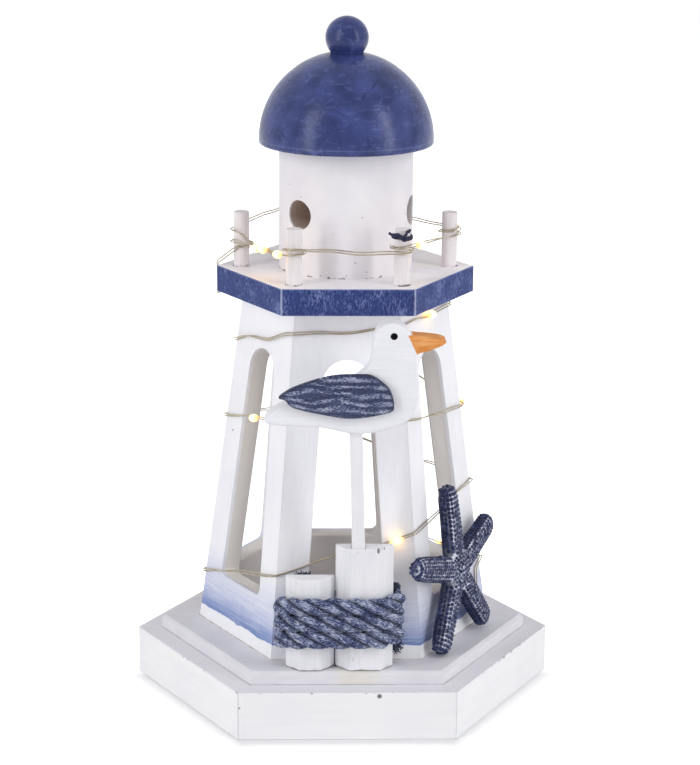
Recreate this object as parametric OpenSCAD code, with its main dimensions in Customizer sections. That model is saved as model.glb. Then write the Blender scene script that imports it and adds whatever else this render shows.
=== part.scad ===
// Wooden lighthouse ornament with a battery light string.
// Millimetres. The origin is the centre of the base's underside, +Z is up, and the front faces -Y.

/* [Base] */
// Height of the base frame
base_h = 15.6; // [15.2:0.1:25]
// Width of the base frame's strips
rim_w = 14; // [10:0.5:18]
// Distance from the step plate's corners out to the base's corners
base_ledge = 7.9; // [4:0.1:14]
// Height of the step plate
step_h = 4.2; // [3.6:0.1:8]
// Distance from the tower's bottom corners out to the step plate's corners
step_ledge = 12.6; // [12:0.1:20]
// Bevel along the step plate's top edge
step_bevel = 1; // [0.4:0.1:2]
// Gap left for glue at each mitre
mitre_gap = 0.1; // [0.05:0.01:0.3]

/* [Tower] */
// Width across the tower's bottom corners
tower_bottom_across = 95; // [90:0.5:115]
// Width across the tower's top corners
tower_top_across = 65.4; // [60:0.1:72]
// Height of the tower
tower_h = 110; // [100:1:140]
// Thickness of the tower's boards
panel_t = 6.5; // [5:0.1:8]
// Width of the board left beside a window
window_leg = 10.1; // [8.5:0.1:12]
// Height of the window sill above the step plate
sill_h = 17.2; // [12:0.1:30]
// Distance from the arch's crown up to the deck
crown_drop = 15.3; // [10:0.1:25]
// Radius of the window's lower corners
sill_corner_r = 2.2; // [1:0.1:5]

/* [Gallery] */
// Distance from the tower's top corners out to the deck's corners
deck_ledge = 8.5; // [7:0.1:14]
// Thickness of the deck
deck_t = 8.4; // [6:0.1:12]
// Diameter of a gallery post
post_d = 5; // [4:0.1:6]
// Height of a gallery post above the deck
post_h = 17.6; // [16:0.1:25]
// Distance from the deck's corner in to the post's centre
post_inset = 8; // [6:0.1:9.5]
// Depth of a post's hole
post_seat = 3; // [2:0.1:5]
// Clearance round a peg in its hole
seat_gap = 0.1; // [0.05:0.01:0.3]
// Diameter of the thread tied round a gallery post
thread_d = 0.8; // [0.5:0.1:1.2]
// Height of the thread above the deck
thread_h = 14; // [13.8:0.1:15]

/* [Lantern] */
// Diameter of the lantern room
lantern_d = 42.6; // [36:0.1:48]
// Height of the lantern room
lantern_h = 39.4; // [30:0.1:50]
// Diameter of a porthole
porthole_d = 9.4; // [6:0.1:12]
// Depth of a porthole
porthole_depth = 12; // [6:0.5:14]
// Height of the portholes above the deck
porthole_h = 19.2; // [12:0.1:24]
// Bearing of the first porthole from the front, towards the right
porthole_bearing = -45; // [-90:1:90]

/* [Dome] */
// Diameter of the dome
dome_d = 55.4; // [50:0.1:64]
// Height of the dome's straight rim
dome_rim_h = 1.4; // [0.5:0.1:5]
// Diameter of the finial's ball
finial_d = 13.6; // [11.5:0.1:18]
// Diameter of the finial's neck
finial_neck_d = 10.6; // [7:0.1:11]
// Height of the ball's centre above the neck's seat
finial_rise = 4.7; // [3:0.1:8]
// Diameter of the finial's peg
finial_peg_d = 4; // [2:0.1:6]
// Length of the finial's peg
finial_peg_len = 8; // [4:0.5:14]

/* [Mooring posts] */
// Depth of both mooring posts, front to back
mooring_depth = 6; // [5:0.1:6.4]
// Width of the chamfers on their front corners
mooring_chamfer = 4.4; // [2:0.1:5.5]
// Depth of the straight side behind a chamfer
mooring_side = 1.4; // [0.5:0.1:3]
// Where the two posts meet, from the centre line
mooring_seam_x = -3.8; // [-8:0.1:2]
// Gap between the two posts
mooring_gap = 0.3; // [0.1:0.1:1]
// Width of the tall post
tall_w = 18; // [14:0.1:18.5]
// Height of the tall post
tall_h = 40; // [36:0.5:52]
// Width of the short post
short_w = 15.2; // [12:0.1:18]
// Height of the short post
short_h = 30; // [28:0.5:36]

/* [Rope] */
// Diameter of the rope
rope_d = 4.6; // [3.5:0.1:4.9]
// Height from one turn to the next
rope_pitch = 5.4; // [5.4:0.1:7]
// Number of turns round the posts
rope_turns = 3; // [2:1:3]
// Gap between the rope and what it lies on
rope_gap = 0.3; // [0.2:0.05:0.5]
// Height of the lowest turn's centre above the step plate
rope_low = 8.3; // [6:0.1:12]

/* [Gull] */
// Thickness of the gull's body board
gull_t = 7; // [5:0.1:9]
// Thickness of the wing
wing_t = 2.4; // [1.5:0.1:4]
// Width of the square leg stick
leg_w = 4; // [2.5:0.1:4.4]
// Length of the leg that shows between the tall post and the belly
leg_len = 37.2; // [30:0.1:50]
// Where the leg stands, from the centre line
leg_x = 3.3; // [1:0.1:6]
// Lean of the leg to the left
leg_lean = 1.6; // [0:0.1:4]
// Depth of the leg's sockets
leg_seat = 5; // [3:0.1:8]

/* [Starfish] */
// Length of an arm, from the middle to the centre of its round end
star_arm = 25.4; // [20:0.1:28]
// Radius of an arm at its end
star_tip_r = 3; // [2:0.1:3.4]
// Radius of an arm at the middle
star_root_r = 3.4; // [3:0.1:4.5]
// Radius of the middle, where the arms meet
star_middle_r = 6; // [5:0.1:8]
// Thickness of the starfish
star_t = 5; // [4:0.1:7]
// Depth of the rounding along its edges
star_edge = 0.9; // [0.3:0.1:1.4]
// Turn of the starfish in its own plane
star_turn = 1.6; // [-8:0.1:8]
// Place along the board, from the board's centre line
star_along = -4.3; // [-6:0.1:2]
// Gap between the starfish and the board, where the wire passes
star_gap = 1.6; // [1.5:0.1:3]

/* [Light string] */
// Diameter of the twin wire
wire_d = 1; // [0.8:0.05:1.1]
// Gap between the wire and what it lies on
wire_gap = 0.25; // [0.15:0.05:0.3]
// Diameter of an LED bead
led_d = 3; // [2:0.1:3.4]
// Length of an LED bead
led_len = 5; // [4:0.1:7]
// Length of wire from one bead to the next, on the tower
led_pitch = 99; // [80:1:120]
// Length of wire from the battery box to the first bead
led_first = 74; // [60:1:140]
// Diameter of the wire's hole in the step plate
wire_hole_d = 2.6; // [2:0.1:4]

/* [Battery box] */
// Diameter of a cell
cell_d = 10.5; // [9.5:0.1:10.8]
// Length of a cell with its nub
cell_len = 44.5; // [40:0.5:46]
// Clearance round the cells
cell_gap = 0.25; // [0.1:0.05:0.3]
// Wall of the battery box
box_wall = 2; // [1.8:0.1:2.4]
// Roof of the battery box, under the step plate
box_roof = 1.4; // [1:0.1:1.5]
// Thickness of the battery door
door_t = 1.2; // [1:0.1:1.3]
// Clearance round the sliding door
door_gap = 0.1; // [0.05:0.01:0.15]
// Lip that carries the door
door_lip = 0.8; // [0.6:0.1:0.9]
// Depth of the door's grooves in the side walls
groove = 1; // [0.6:0.1:1.2]
// Room for a contact spring
spring_len = 4; // [3:0.1:6]
// Thickness of a contact plate
contact_t = 0.5; // [0.3:0.1:0.8]
// Length of the switch's compartment
switch_bay = 9; // [8:0.5:11]
// Travel of the switch slider
switch_travel = 3; // [2:0.1:4]
// Diameter of the box screws' shanks
screw_d = 2.2; // [1.8:0.1:2.6]

/* [Hidden] */
$fn = 64;
// A little extra so that a cut passes right through
cut = 1;
SIDES = ["front", "front_right", "back_right", "back", "back_left", "front_left"];
CORNERS = ["right", "back_right", "back_left", "left", "front_left", "front_right"];

PAINT_WHITE = "#f2f1f4";
PAINT_BLUE = "#3f4a80";
WING_BLUE = "#48527c";
ROPE_BLUE = "#59617e";
STAR_NAVY = "#3a3f5c";
WIRE_TAN = "#b8a888";
LED_WARM = "#ffe9a8";
THREAD_NAVY = "#25264a";
BOX_BLACK = "#2b2b2e";
CELL_GREEN = "#4a6b4e";
METAL = "#c4c6c8";

// Stack of the main pieces
step_top = base_h + step_h;
deck_z = step_top + tower_h;
deck_top = deck_z + deck_t;
dome_z = deck_top + lantern_h;

// Widths across corners, and the flats' distance from the axis
step_across = tower_bottom_across + 2 * step_ledge;
base_across = step_across + 2 * base_ledge;
deck_across = tower_top_across + 2 * deck_ledge;
function apothem(across) = across / 2 * cos(30);
base_face = apothem(base_across);
step_face = apothem(step_across);
tower_foot = apothem(tower_bottom_across);
tower_head = apothem(tower_top_across);
tower_lean = atan((tower_foot - tower_head) / tower_h);
// Distance of a tower board's face, and of a tower corner, from the axis at a height
function tower_face(z) = tower_foot - (z - step_top) * tan(tower_lean);
function tower_corner(z) = tower_face(z) / cos(30);

// One board in its own plane: half widths at its foot and head, and its length
board_foot = tower_foot * tan(30);
board_head = tower_head * tan(30);
board_len = tower_h / cos(tower_lean);
edge_slope = (board_foot - board_head) / board_len;
edge_angle = atan(edge_slope);
// Window: its sides run beside the board's edges, and its arch meets them smoothly
window_foot = board_foot - window_leg;
sill = sill_h / cos(tower_lean);
crown = board_len - crown_drop / cos(tower_lean);
arch_at = (crown - window_foot * cos(edge_angle)) / (1 - edge_slope * cos(edge_angle));
arch_r = crown - arch_at;
sill_corner_at = sill + sill_corner_r;
sill_corner_x = window_foot - edge_slope * sill_corner_at - sill_corner_r / cos(edge_angle);

// Gallery posts stand on a circle
post_ring = deck_across / 2 - post_inset;

// Dome seat for the finial
dome_r = dome_d / 2;
finial_seat = dome_z + dome_rim_h + sqrt(pow(dome_r, 2) - pow(finial_neck_d / 2, 2));
finial_z = finial_seat + finial_rise;

// The mooring posts stand just far enough out for the rope to pass behind them
rope_z = step_top + rope_low;
mooring_back = -(tower_face(rope_z - rope_d / 2) + 2 * rope_gap + rope_d);
mooring_front = mooring_back - mooring_depth;
mooring_mid = (mooring_back + mooring_front) / 2;
tall_left = mooring_seam_x + mooring_gap / 2;
short_right = mooring_seam_x - mooring_gap / 2;
tall_right = tall_left + tall_w;
short_left = short_right - short_w;

// Gull, measured from where its leg meets the belly
leg_foot = step_top + tall_h;
gull_x = leg_x - leg_len * tan(leg_lean);
gull_z = leg_foot + leg_len;
gull_top_side = [[16, 30.7], [14.6, 33], [10.3, 34.5], [6.2, 32.4], [4.6, 28], [4.6, 24.4], [2.7, 19.9],
                 [-5.1, 14.4], [-14.2, 11.3], [-21.1, 9.3], [-26.4, 6.4]];
gull_low_side = [[-27.8, 3.2], [-21.7, 2.3], [-11.8, 1.9], [-2.4, 0], [4.8, 0], [11.8, 1.9], [16.6, 4.7],
                 [18.4, 9.3], [18.7, 15.1], [18.1, 21.6], [18.1, 24.8]];
gull_beak = [[22.6, 26], [26.9, 28.1], [26.3, 29.2], [23.7, 29.9]];
gull_outline = concat(spline(concat(gull_top_side, gull_low_side), 3), gull_beak);
wing_outline = [[-23.6, 11.9], [-18.7, 15.1], [-8.2, 18.4], [1.3, 18.9], [5, 18.3], [8.6, 15.7], [10.3, 13.5],
                [11.3, 9.6], [9.8, 7], [-0.7, 5.2], [-8.7, 6.1], [-18.7, 8.4], [-21.7, 10.9]];

// Starfish: it stands on its two lower arms
star_up = star_arm * cos(36 - abs(star_turn)) + star_tip_r;

// Battery box, which hangs from the step plate
box_len = cell_len + spring_len + 2 * contact_t + 2 * box_wall + switch_bay + box_wall;
cell_pitch = cell_d + cell_gap;
bay_w = cell_pitch + cell_d + 2 * cell_gap;
box_w = bay_w + 2 * box_wall;
box_x0 = -box_len / 2;
bay_x0 = box_x0 + 2 * box_wall + switch_bay;
bay_x1 = box_x0 + box_len - box_wall;
bay_top = base_h - box_roof;
bay_floor = bay_top - cell_d - 2 * cell_gap;
door_top = bay_floor;
groove_floor = door_top - door_t - 2 * door_gap;
box_bottom = groove_floor - door_lip;
cell_z = bay_top - cell_gap - cell_d / 2;
nub_d = 4;
nub_len = 1;
ear_w = 7;
ear_t = 1.8;
ear_y = box_w / 2 + ear_w / 2;
ear_inset = 10;
ear_x = bay_x1 - ear_inset;
screw_grip = 3;
screw_head_d = 4.2;
screw_head_t = 1.4;
spring_d = 7.4;
plate_w = 9.5;
// Thumb ribs across the door
rib_count = 4;
rib_pitch = 3;
rib_w = 1.2;
rib_h = 0.6;
// Switch: a slider that reaches down through a slot in the box's floor
switch_x = box_x0 + box_wall + switch_bay / 2;
knob_w = 3;
knob_len = 3.4;
knob_drop = 0.5;
switch_h = 6;

// Smooth curves

// Point on a Catmull-Rom curve between b and c
function spline_at(a, b, c, d, t) =
    0.5 * (2 * b + (c - a) * t + (2 * a - 5 * b + 4 * c - d) * t * t + (3 * b - a - 3 * c + d) * t * t * t);
// Open curve through points, with n steps between neighbours
function spline(p, n) =
    let (last = len(p) - 1)
    concat([for (i = [0 : last - 1], k = [0 : n - 1])
        spline_at(p[max(i - 1, 0)], p[i], p[i + 1], p[min(i + 2, last)], k / n)], [p[last]]);
// Closed curve through points
function closed_spline(p, n) =
    let (m = len(p))
    [for (i = [0 : m - 1], k = [0 : n - 1])
        spline_at(p[(i + m - 1) % m], p[i], p[(i + 1) % m], p[(i + 2) % m], k / n)];

// Points of an arc round c from bearing a0 to a1
function bearing(a) = [cos(a), sin(a)];
arc_step = 6;
function arc(c, r, a0, a1) =
    let (n = ceil((a1 - a0) / arc_step))
    [for (k = [0 : n]) c + r * bearing(a0 + (a1 - a0) * k / n)];

// Tubes

function unit(v) = v / norm(v);
function ring_dir(p, i) = unit(p[min(i + 1, len(p) - 1)] - p[max(i - 1, 0)]);
// Side direction of a ring, carried from ring to ring so that the tube doesn't twist
function carried(side, dir) = unit(side - (side * dir) * dir);
function ring_sides(p) =
    [for (i = 0, s = carried([0.31, 0.17, 0.94], ring_dir(p, 0)); i < len(p);
        i = i + 1, s = carried(s, ring_dir(p, min(i, len(p) - 1)))) s];
module tube(p, d, sides) {
    across = ring_sides(p);
    n = len(p);
    points = [for (i = [0 : n - 1], k = [0 : sides - 1])
        let (dir = ring_dir(p, i), up = cross(dir, across[i]), a = 360 * k / sides)
        p[i] + d / 2 * (cos(a) * across[i] + sin(a) * up)];
    walls = [for (i = [0 : n - 2], k = [0 : sides - 1])
        let (a = i * sides + k, b = i * sides + (k + 1) % sides)
        each [[a, a + sides, b], [b, a + sides, b + sides]]];
    caps = [for (k = [1 : sides - 2]) each [[0, k, k + 1],
        [(n - 1) * sides, (n - 1) * sides + k + 1, (n - 1) * sides + k]]];
    polyhedron(points, concat(walls, caps));
}
// Least gap between stretches of a tube that are at least skip rings apart
function self_gap(p, d, skip) =
    min([for (i = [0 : len(p) - 1 - skip], j = [i + skip : len(p) - 1]) norm(p[i] - p[j])]) - d;

// Rope route: round both posts, and down by one pitch a turn

rope_r = rope_d / 2 + rope_gap;
chamfer_turn = atan2(mooring_depth - mooring_side, mooring_chamfer);
// Corners that the rope rounds, each with the bearings where it meets and leaves it
rope_corners = [
    [[short_left, mooring_back], 90, 180, 3],
    [[short_left, mooring_back - mooring_side], 180, 270 - chamfer_turn, 2],
    [[short_left + mooring_chamfer, mooring_front], 270 - chamfer_turn, 270, 2],
    [[mooring_seam_x, mooring_front], 270, 270, 0],
    [[tall_right - mooring_chamfer, mooring_front], 270, 270 + chamfer_turn, 2],
    [[tall_right, mooring_back - mooring_side], 270 + chamfer_turn, 360, 2],
    [[tall_right, mooring_back], 360, 450, 3],
    [[mooring_seam_x, mooring_back], 450, 450, 0]];
rope_loop = [for (c = rope_corners, k = [0 : c[3]])
    c[0] + rope_r * bearing(c[1] + (c[2] - c[1]) * k / max(c[3], 1))];
loop_n = len(rope_loop);
rope_top = rope_z + rope_turns * rope_pitch;
// The rope starts straight behind the tall post, and ends there too, below
rope_start_y = mooring_back + rope_r;
rope_tail = rope_d;
rope_path = concat(
    [for (x = [tall_right - 2, tall_right - 2 - rope_tail]) [x, rope_start_y, rope_top]],
    [for (t = [0 : rope_turns - 1], i = [0 : loop_n - 1]) if (t < rope_turns - 1 || i < loop_n - 1)
        let (p = rope_loop[i]) [p[0], p[1], rope_top - rope_pitch * (t + (i + 0.5) / loop_n)]],
    [[tall_right - rope_tail, rope_start_y, rope_z]]);

// Light wire route: it crosses the tower's corners on its way down from the gallery

wire_r = wire_d / 2 + wire_gap;
// Each row is a corner, counted in sixths of a turn from the right, and a depth below the deck
wire_drops = [[2, 2.4], [1, 3], [0, 4], [5, 4.6], [4, 7], [3, 15.8],
              [2, 23.3], [1, 30.8], [0, 38], [5, 33.8], [4, 33.8], [3, 41.1],
              [2, 48], [1, 65.3], [0, 63], [5, 69.6], [4, 83], [3, 94.4],
              [2, 96], [1, 96], [0, 89.8]];
// A point just outside a tower corner
function corner_point(c, drop) =
    let (z = deck_z - drop, r = tower_corner(z) + wire_r / cos(30))
    [r * cos(60 * c), r * sin(60 * c), z];
// A point on the front right board: along it, above the step plate, and out from its face
function on_board(u, h, out) =
    let (d = tower_face(step_top + h) + out)
    [d * cos(-30) - u * sin(-30), d * sin(-30) + u * cos(-30), step_top + h];
// The lower end goes down behind the starfish, through the step plate and into the battery box
wire_hole_u = 16;
wire_hole_out = 1.6;
wire_hole = on_board(wire_hole_u, 0, wire_hole_out);
wire_entry = [bay_x1 + box_wall, -4, cell_z + 1];
wire_lower = [on_board(18, 17.5, wire_r), on_board(17, 9, wire_r),
              on_board(wire_hole_u, 3, wire_hole_out - 0.3), wire_hole,
              [wire_hole[0], wire_hole[1], base_h - 2], [wire_hole[0] - 4, wire_hole[1] + 2, cell_z + 1],
              wire_entry, wire_entry - [box_wall, 0, 0]];
// Gallery: once round each post, from the left post on, then back past the left post to a free end
wrap_rise = 2;
wrap_sweep = 420;
wrap_r = post_d / 2 + wire_r;
// Each row is a corner, the wrap's height above the deck, and the bearings where the wire meets and leaves it
wraps = [[3, 7.5, 250, 570], [4, 10.5, 210, 630], [5, 11.5, 270, 690], [6, 11.5, 330, 750],
         [7, 11, 390, 810], [8, 12.5, 450, 870], [9, 11.6, 510, 570]];
wrap_steps = 14;
// A wrap that sweeps less than this takes only three points
short_sweep = 90;
function wrap_point(w, t) =
    let (a = w[2] + (w[3] - w[2]) * t, full = (w[3] - w[2]) / wrap_sweep)
    [post_ring * cos(60 * w[0]) + wrap_r * cos(a), post_ring * sin(60 * w[0]) + wrap_r * sin(a),
     deck_top + w[1] + wrap_rise * full * (t - 0.5)];
gallery_run = [for (w = wraps, k = [0 : wrap_steps])
    if (w[3] - w[2] > short_sweep || k % (wrap_steps / 2) == 0) wrap_point(w, k / wrap_steps)];
free_end = [post_ring * cos(226), post_ring * sin(226) - wire_r, deck_top + 9];
// Over the deck's edge beside its left corner
deck_edge = apothem(deck_across) + wire_r;
function on_deck_edge(u, z) =
    [deck_edge * cos(150) - u * sin(150), deck_edge * sin(150) + u * cos(150), z];
edge_u = apothem(deck_across) * tan(30) - 2;
wire_over = [on_deck_edge(edge_u, deck_top + wire_r), on_deck_edge(edge_u, deck_z - wire_r)];
wire_path = concat([free_end], [for (i = [len(gallery_run) - 1 : -1 : 0]) gallery_run[i]], wire_over,
    [for (w = wire_drops) corner_point(w[0], w[1])], wire_lower);

// Lengths along the wire, and where its beads sit
function steps(p) = [for (i = [0 : len(p) - 2]) norm(p[i + 1] - p[i])];
function sum(v, i = 0) = i < len(v) ? v[i] + sum(v, i + 1) : 0;
wire_steps = steps(wire_path);
wire_runs = [for (i = 0, s = 0; i < len(wire_steps); s = s + wire_steps[i], i = i + 1) s];
wire_len = sum(wire_steps);
function run_of(s) = max([for (i = [0 : len(wire_steps) - 1]) if (wire_runs[i] <= s) i]);
// A bead is a place and a direction: here at a length along the wire
function led_at(s) =
    let (i = run_of(s), dir = unit(wire_path[i + 1] - wire_path[i]))
    [wire_path[i] + (s - wire_runs[i]) * dir, dir];
// On the gallery the string is doubled back, so beads crowd there: each row is a wrap and the length past it
led_past_wrap = [[0, 17], [2, 4.5], [3, 4.5]];
function led_past(w, s) =
    let (from = wrap_point(wraps[w], 1), dir = unit(wrap_point(wraps[w + 1], 0) - from))
    [from + s * dir, dir];
// The tower's stretch begins past the deck's edge
tower_from = wire_runs[len(gallery_run) + len(wire_over)] + led_len;
leds = concat([led_at(led_len)], [for (r = led_past_wrap) led_past(r[0], r[1])],
    [for (s = [wire_len - led_first : -led_pitch : tower_from]) led_at(s)]);

// Lengths and least gaps of the two wound pieces
echo(rope_length = sum(steps(rope_path)), rope_self_gap = self_gap(rope_path, rope_d, loop_n - 4));
echo(wire_length = wire_len, wire_self_gap = self_gap(wire_path, wire_d, 8));

// Base

module hex_prism(across, h) {
    cylinder(d = across, h = h, $fn = 6);
}

// One strip of the base frame, built at the front and turned to its side
module base_rim(i) {
    inner_face = base_face - rim_w;
    outer = base_face * tan(30) - mitre_gap / 2;
    inner = inner_face * tan(30) - mitre_gap / 2;
    color(PAINT_WHITE)
    rotate(60 * i)
    linear_extrude(base_h)
    polygon([[-outer, -base_face], [outer, -base_face], [inner, -inner_face], [-inner, -inner_face]]);
}

module step_plate() {
    color(PAINT_WHITE)
    difference() {
        translate([0, 0, base_h]) hex_prism(step_across, step_h);
        for (i = [0 : 5])
            rotate(60 * i)
            translate([0, -step_face, step_top])
            rotate([45, 0, 0])
            cube([step_across, step_bevel * sqrt(2), step_bevel * sqrt(2)], center = true);
        translate([wire_hole[0], wire_hole[1], base_h - cut])
        cylinder(d = wire_hole_d, h = step_h + 2 * cut);
        for (s = [-1, 1])
            translate([ear_x, s * ear_y, base_h - cut])
            cylinder(d = screw_d + 2 * seat_gap, h = screw_grip + cut);
    }
}

// Tower

// Window in the board's plane: straight sides, a round arch and round lower corners
module window() {
    corner = [sill_corner_x, sill_corner_at];
    polygon(concat(
        arc(corner, sill_corner_r, -90, edge_angle),
        arc([0, arch_at], arch_r, edge_angle, 180 - edge_angle),
        arc([-corner[0], corner[1]], sill_corner_r, 180 - edge_angle, 270)));
}

// A board leans in by the tower's taper, and vertical cuts through the axis mitre its edges
module tower_panel(i) {
    reach = tower_bottom_across;
    side = reach * tan(30) - mitre_gap / 2;
    color(PAINT_WHITE)
    rotate(60 * i)
    intersection() {
        translate([0, -tower_foot, step_top])
        rotate([-tower_lean, 0, 0])
        translate([0, panel_t, 0])
        rotate([90, 0, 0])
        difference() {
            translate([-board_foot, -panel_t, 0]) cube([2 * board_foot, board_len + 2 * panel_t, panel_t]);
            translate([0, 0, -cut]) linear_extrude(panel_t + 2 * cut) window();
        }
        translate([0, 0, step_top])
        linear_extrude(tower_h)
        polygon([[0, -mitre_gap], [side, -reach], [-side, -reach]]);
    }
}

// Gallery

module at_post(c) {
    rotate(60 * c) translate([post_ring, 0, deck_top]) children();
}

module gallery_deck() {
    color(PAINT_BLUE)
    difference() {
        translate([0, 0, deck_z]) hex_prism(deck_across, deck_t);
        for (c = [0 : 5])
            at_post(c) translate([0, 0, -post_seat]) cylinder(d = post_d + 2 * seat_gap, h = post_seat + cut);
    }
}

module gallery_post(c) {
    color(PAINT_WHITE)
    at_post(c) translate([0, 0, -post_seat]) cylinder(d = post_d, h = post_h + post_seat);
}

// Lantern room and dome

module lantern_room() {
    color(PAINT_WHITE)
    difference() {
        translate([0, 0, deck_top]) cylinder(d = lantern_d, h = lantern_h);
        for (k = [0 : 2])
            rotate(porthole_bearing + 120 * k)
            translate([0, -lantern_d / 2 - cut, deck_top + porthole_h])
            rotate([-90, 0, 0])
            cylinder(d = porthole_d, h = porthole_depth + cut);
    }
}

module dome_roof() {
    color(PAINT_BLUE)
    difference() {
        union() {
            translate([0, 0, dome_z]) cylinder(d = dome_d, h = dome_rim_h);
            translate([0, 0, dome_z + dome_rim_h])
            difference() {
                sphere(d = dome_d);
                translate([0, 0, -dome_d / 2]) cube([2 * dome_d, 2 * dome_d, dome_d], center = true);
            }
        }
        translate([0, 0, finial_seat]) cylinder(d = dome_d, h = dome_d);
        translate([0, 0, finial_seat - finial_peg_len - seat_gap])
        cylinder(d = finial_peg_d + 2 * seat_gap, h = finial_peg_len + seat_gap + cut);
    }
}

module dome_finial() {
    color(PAINT_BLUE)
    union() {
        difference() {
            translate([0, 0, finial_z]) sphere(d = finial_d);
            translate([0, 0, finial_seat - finial_d]) cylinder(d = 2 * finial_d, h = finial_d);
        }
        translate([0, 0, finial_seat]) cylinder(d = finial_neck_d, h = finial_rise);
        translate([0, 0, finial_seat - finial_peg_len]) cylinder(d = finial_peg_d, h = finial_peg_len + cut);
    }
}

// Mooring posts and rope

module mooring_post(x0, x1, h) {
    translate([0, 0, step_top])
    linear_extrude(h)
    polygon([[x0, mooring_back], [x0, mooring_back - mooring_side], [x0 + mooring_chamfer, mooring_front],
        [x1 - mooring_chamfer, mooring_front], [x1, mooring_back - mooring_side], [x1, mooring_back]]);
}

module mooring_post_tall() {
    color(PAINT_WHITE)
    difference() {
        mooring_post(tall_left, tall_right, tall_h);
        leg_stick(seat_gap);
    }
}

module mooring_post_short() {
    color(PAINT_WHITE) mooring_post(short_left, short_right, short_h);
}

module mooring_rope() {
    color(ROPE_BLUE) tube(rope_path, rope_d, 6);
}

// Gull

// The leg, or with grow the sockets that it stands in
module leg_stick(grow) {
    w = leg_w + 2 * grow;
    translate([leg_x, mooring_mid, leg_foot])
    rotate([0, -leg_lean, 0])
    translate([-w / 2, -w / 2, -leg_seat - grow])
    cube([w, w, leg_len / cos(leg_lean) + 2 * leg_seat + 2 * grow]);
}

module gull_leg() {
    color(PAINT_WHITE) leg_stick(0);
}

// A flat outline in the gull's plane, from y0 towards the back
module gull_board(outline, y0, t) {
    translate([gull_x, y0 + t, gull_z]) rotate([90, 0, 0]) linear_extrude(t) polygon(outline);
}

module gull_body() {
    color(PAINT_WHITE)
    difference() {
        gull_board(gull_outline, mooring_mid - gull_t / 2, gull_t);
        leg_stick(seat_gap);
    }
}

module gull_wing() {
    color(WING_BLUE) gull_board(closed_spline(wing_outline, 3), mooring_mid - gull_t / 2 - wing_t, wing_t);
}

// Outline of the five arms, drawn in by inset
module star_outline(inset) {
    root = star_root_r - inset;
    tip = star_tip_r - inset;
    circle(star_middle_r - inset);
    for (k = [0 : 4])
        rotate(star_turn + 72 * k) {
            polygon([[-root, 0], [root, 0], [tip, star_arm], [-tip, star_arm]]);
            translate([0, star_arm]) circle(tip);
        }
}

// Starfish, in a plane beside the front right board, thinner at its edges than in the middle of its arms
module starfish() {
    color(STAR_NAVY)
    rotate(60)
    translate([star_along, -tower_foot, step_top])
    rotate([-tower_lean, 0, 0])
    translate([0, -star_gap, star_up])
    rotate([90, 0, 0])
    union() {
        linear_extrude(star_t) star_outline(star_edge);
        translate([0, 0, star_edge]) linear_extrude(star_t - 2 * star_edge) star_outline(0);
    }
}

// Light string

module light_wire() {
    color(WIRE_TAN) tube(wire_path, wire_d, 6);
}

// A bead lies along the wire, shifted out so that it clears the wood
module led_bead(place, dir) {
    out = unit([place[0], place[1], 0]) * (led_d - wire_d) / 2 / cos(30);
    straight = led_len - led_d;
    translate(place + out)
    rotate([0, acos(dir[2]), atan2(dir[1], dir[0])])
    translate([0, 0, -straight / 2]) {
        cylinder(d = led_d, h = straight);
        sphere(d = led_d);
        translate([0, 0, straight]) sphere(d = led_d);
    }
}

module led_beads() {
    color(LED_WARM)
    for (b = leds)
        led_bead(b[0], b[1]);
}

module thread_tie() {
    color(THREAD_NAVY)
    at_post(5)
    translate([0, 0, thread_h])
    rotate_extrude()
    translate([post_d / 2 + thread_d / 2 + seat_gap, 0])
    circle(d = thread_d);
}

// Battery box

module battery_box() {
    knob_slot = knob_len + switch_travel + 2 * door_gap;
    color(BOX_BLACK)
    difference() {
        union() {
            translate([box_x0, -box_w / 2, box_bottom]) cube([box_len, box_w, base_h - box_bottom]);
            translate([ear_x - ear_w / 2, -box_w / 2 - ear_w, base_h - ear_t])
            cube([ear_w, box_w + 2 * ear_w, ear_t]);
        }
        // Cell bay, open below
        translate([bay_x0, -bay_w / 2, box_bottom - cut])
        cube([bay_x1 - bay_x0, bay_w, bay_top - box_bottom + cut]);
        // Door grooves, open at the right end
        translate([bay_x0, -bay_w / 2 - groove, groove_floor])
        cube([box_len, bay_w + 2 * groove, door_top - groove_floor]);
        translate([bay_x1 - cut, -bay_w / 2, box_bottom - cut])
        cube([box_wall + 2 * cut, bay_w, groove_floor - box_bottom + 2 * cut]);
        // Switch bay, and the knob's slot in its floor
        translate([box_x0 + box_wall, -bay_w / 2, box_bottom + box_wall])
        cube([switch_bay, bay_w, bay_top - box_bottom - box_wall]);
        translate([switch_x - knob_w / 2 - door_gap, -knob_slot / 2, box_bottom - cut])
        cube([knob_w + 2 * door_gap, knob_slot, box_wall + 2 * cut]);
        // Holes for the screws and the wire
        for (s = [-1, 1])
            translate([ear_x, s * ear_y, base_h - ear_t - cut])
            cylinder(d = screw_d + 4 * seat_gap, h = ear_t + 2 * cut);
        translate(wire_entry - [box_wall + cut, 0, 0])
        rotate([0, 90, 0])
        cylinder(d = wire_d + 2 * wire_gap, h = box_wall + 2 * cut);
    }
}

module battery_door() {
    x0 = bay_x0 + door_gap;
    x1 = bay_x1 + box_wall;
    w = bay_w + 2 * groove - 2 * door_gap;
    color(BOX_BLACK)
    union() {
        translate([x0, -w / 2, groove_floor + door_gap]) cube([x1 - x0, w, door_t]);
        for (k = [1 : rib_count])
            translate([x1 - k * rib_pitch, -bay_w / 4, groove_floor + door_gap - rib_h])
            cube([rib_w, bay_w / 2, rib_h + door_t / 2]);
    }
}

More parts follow.
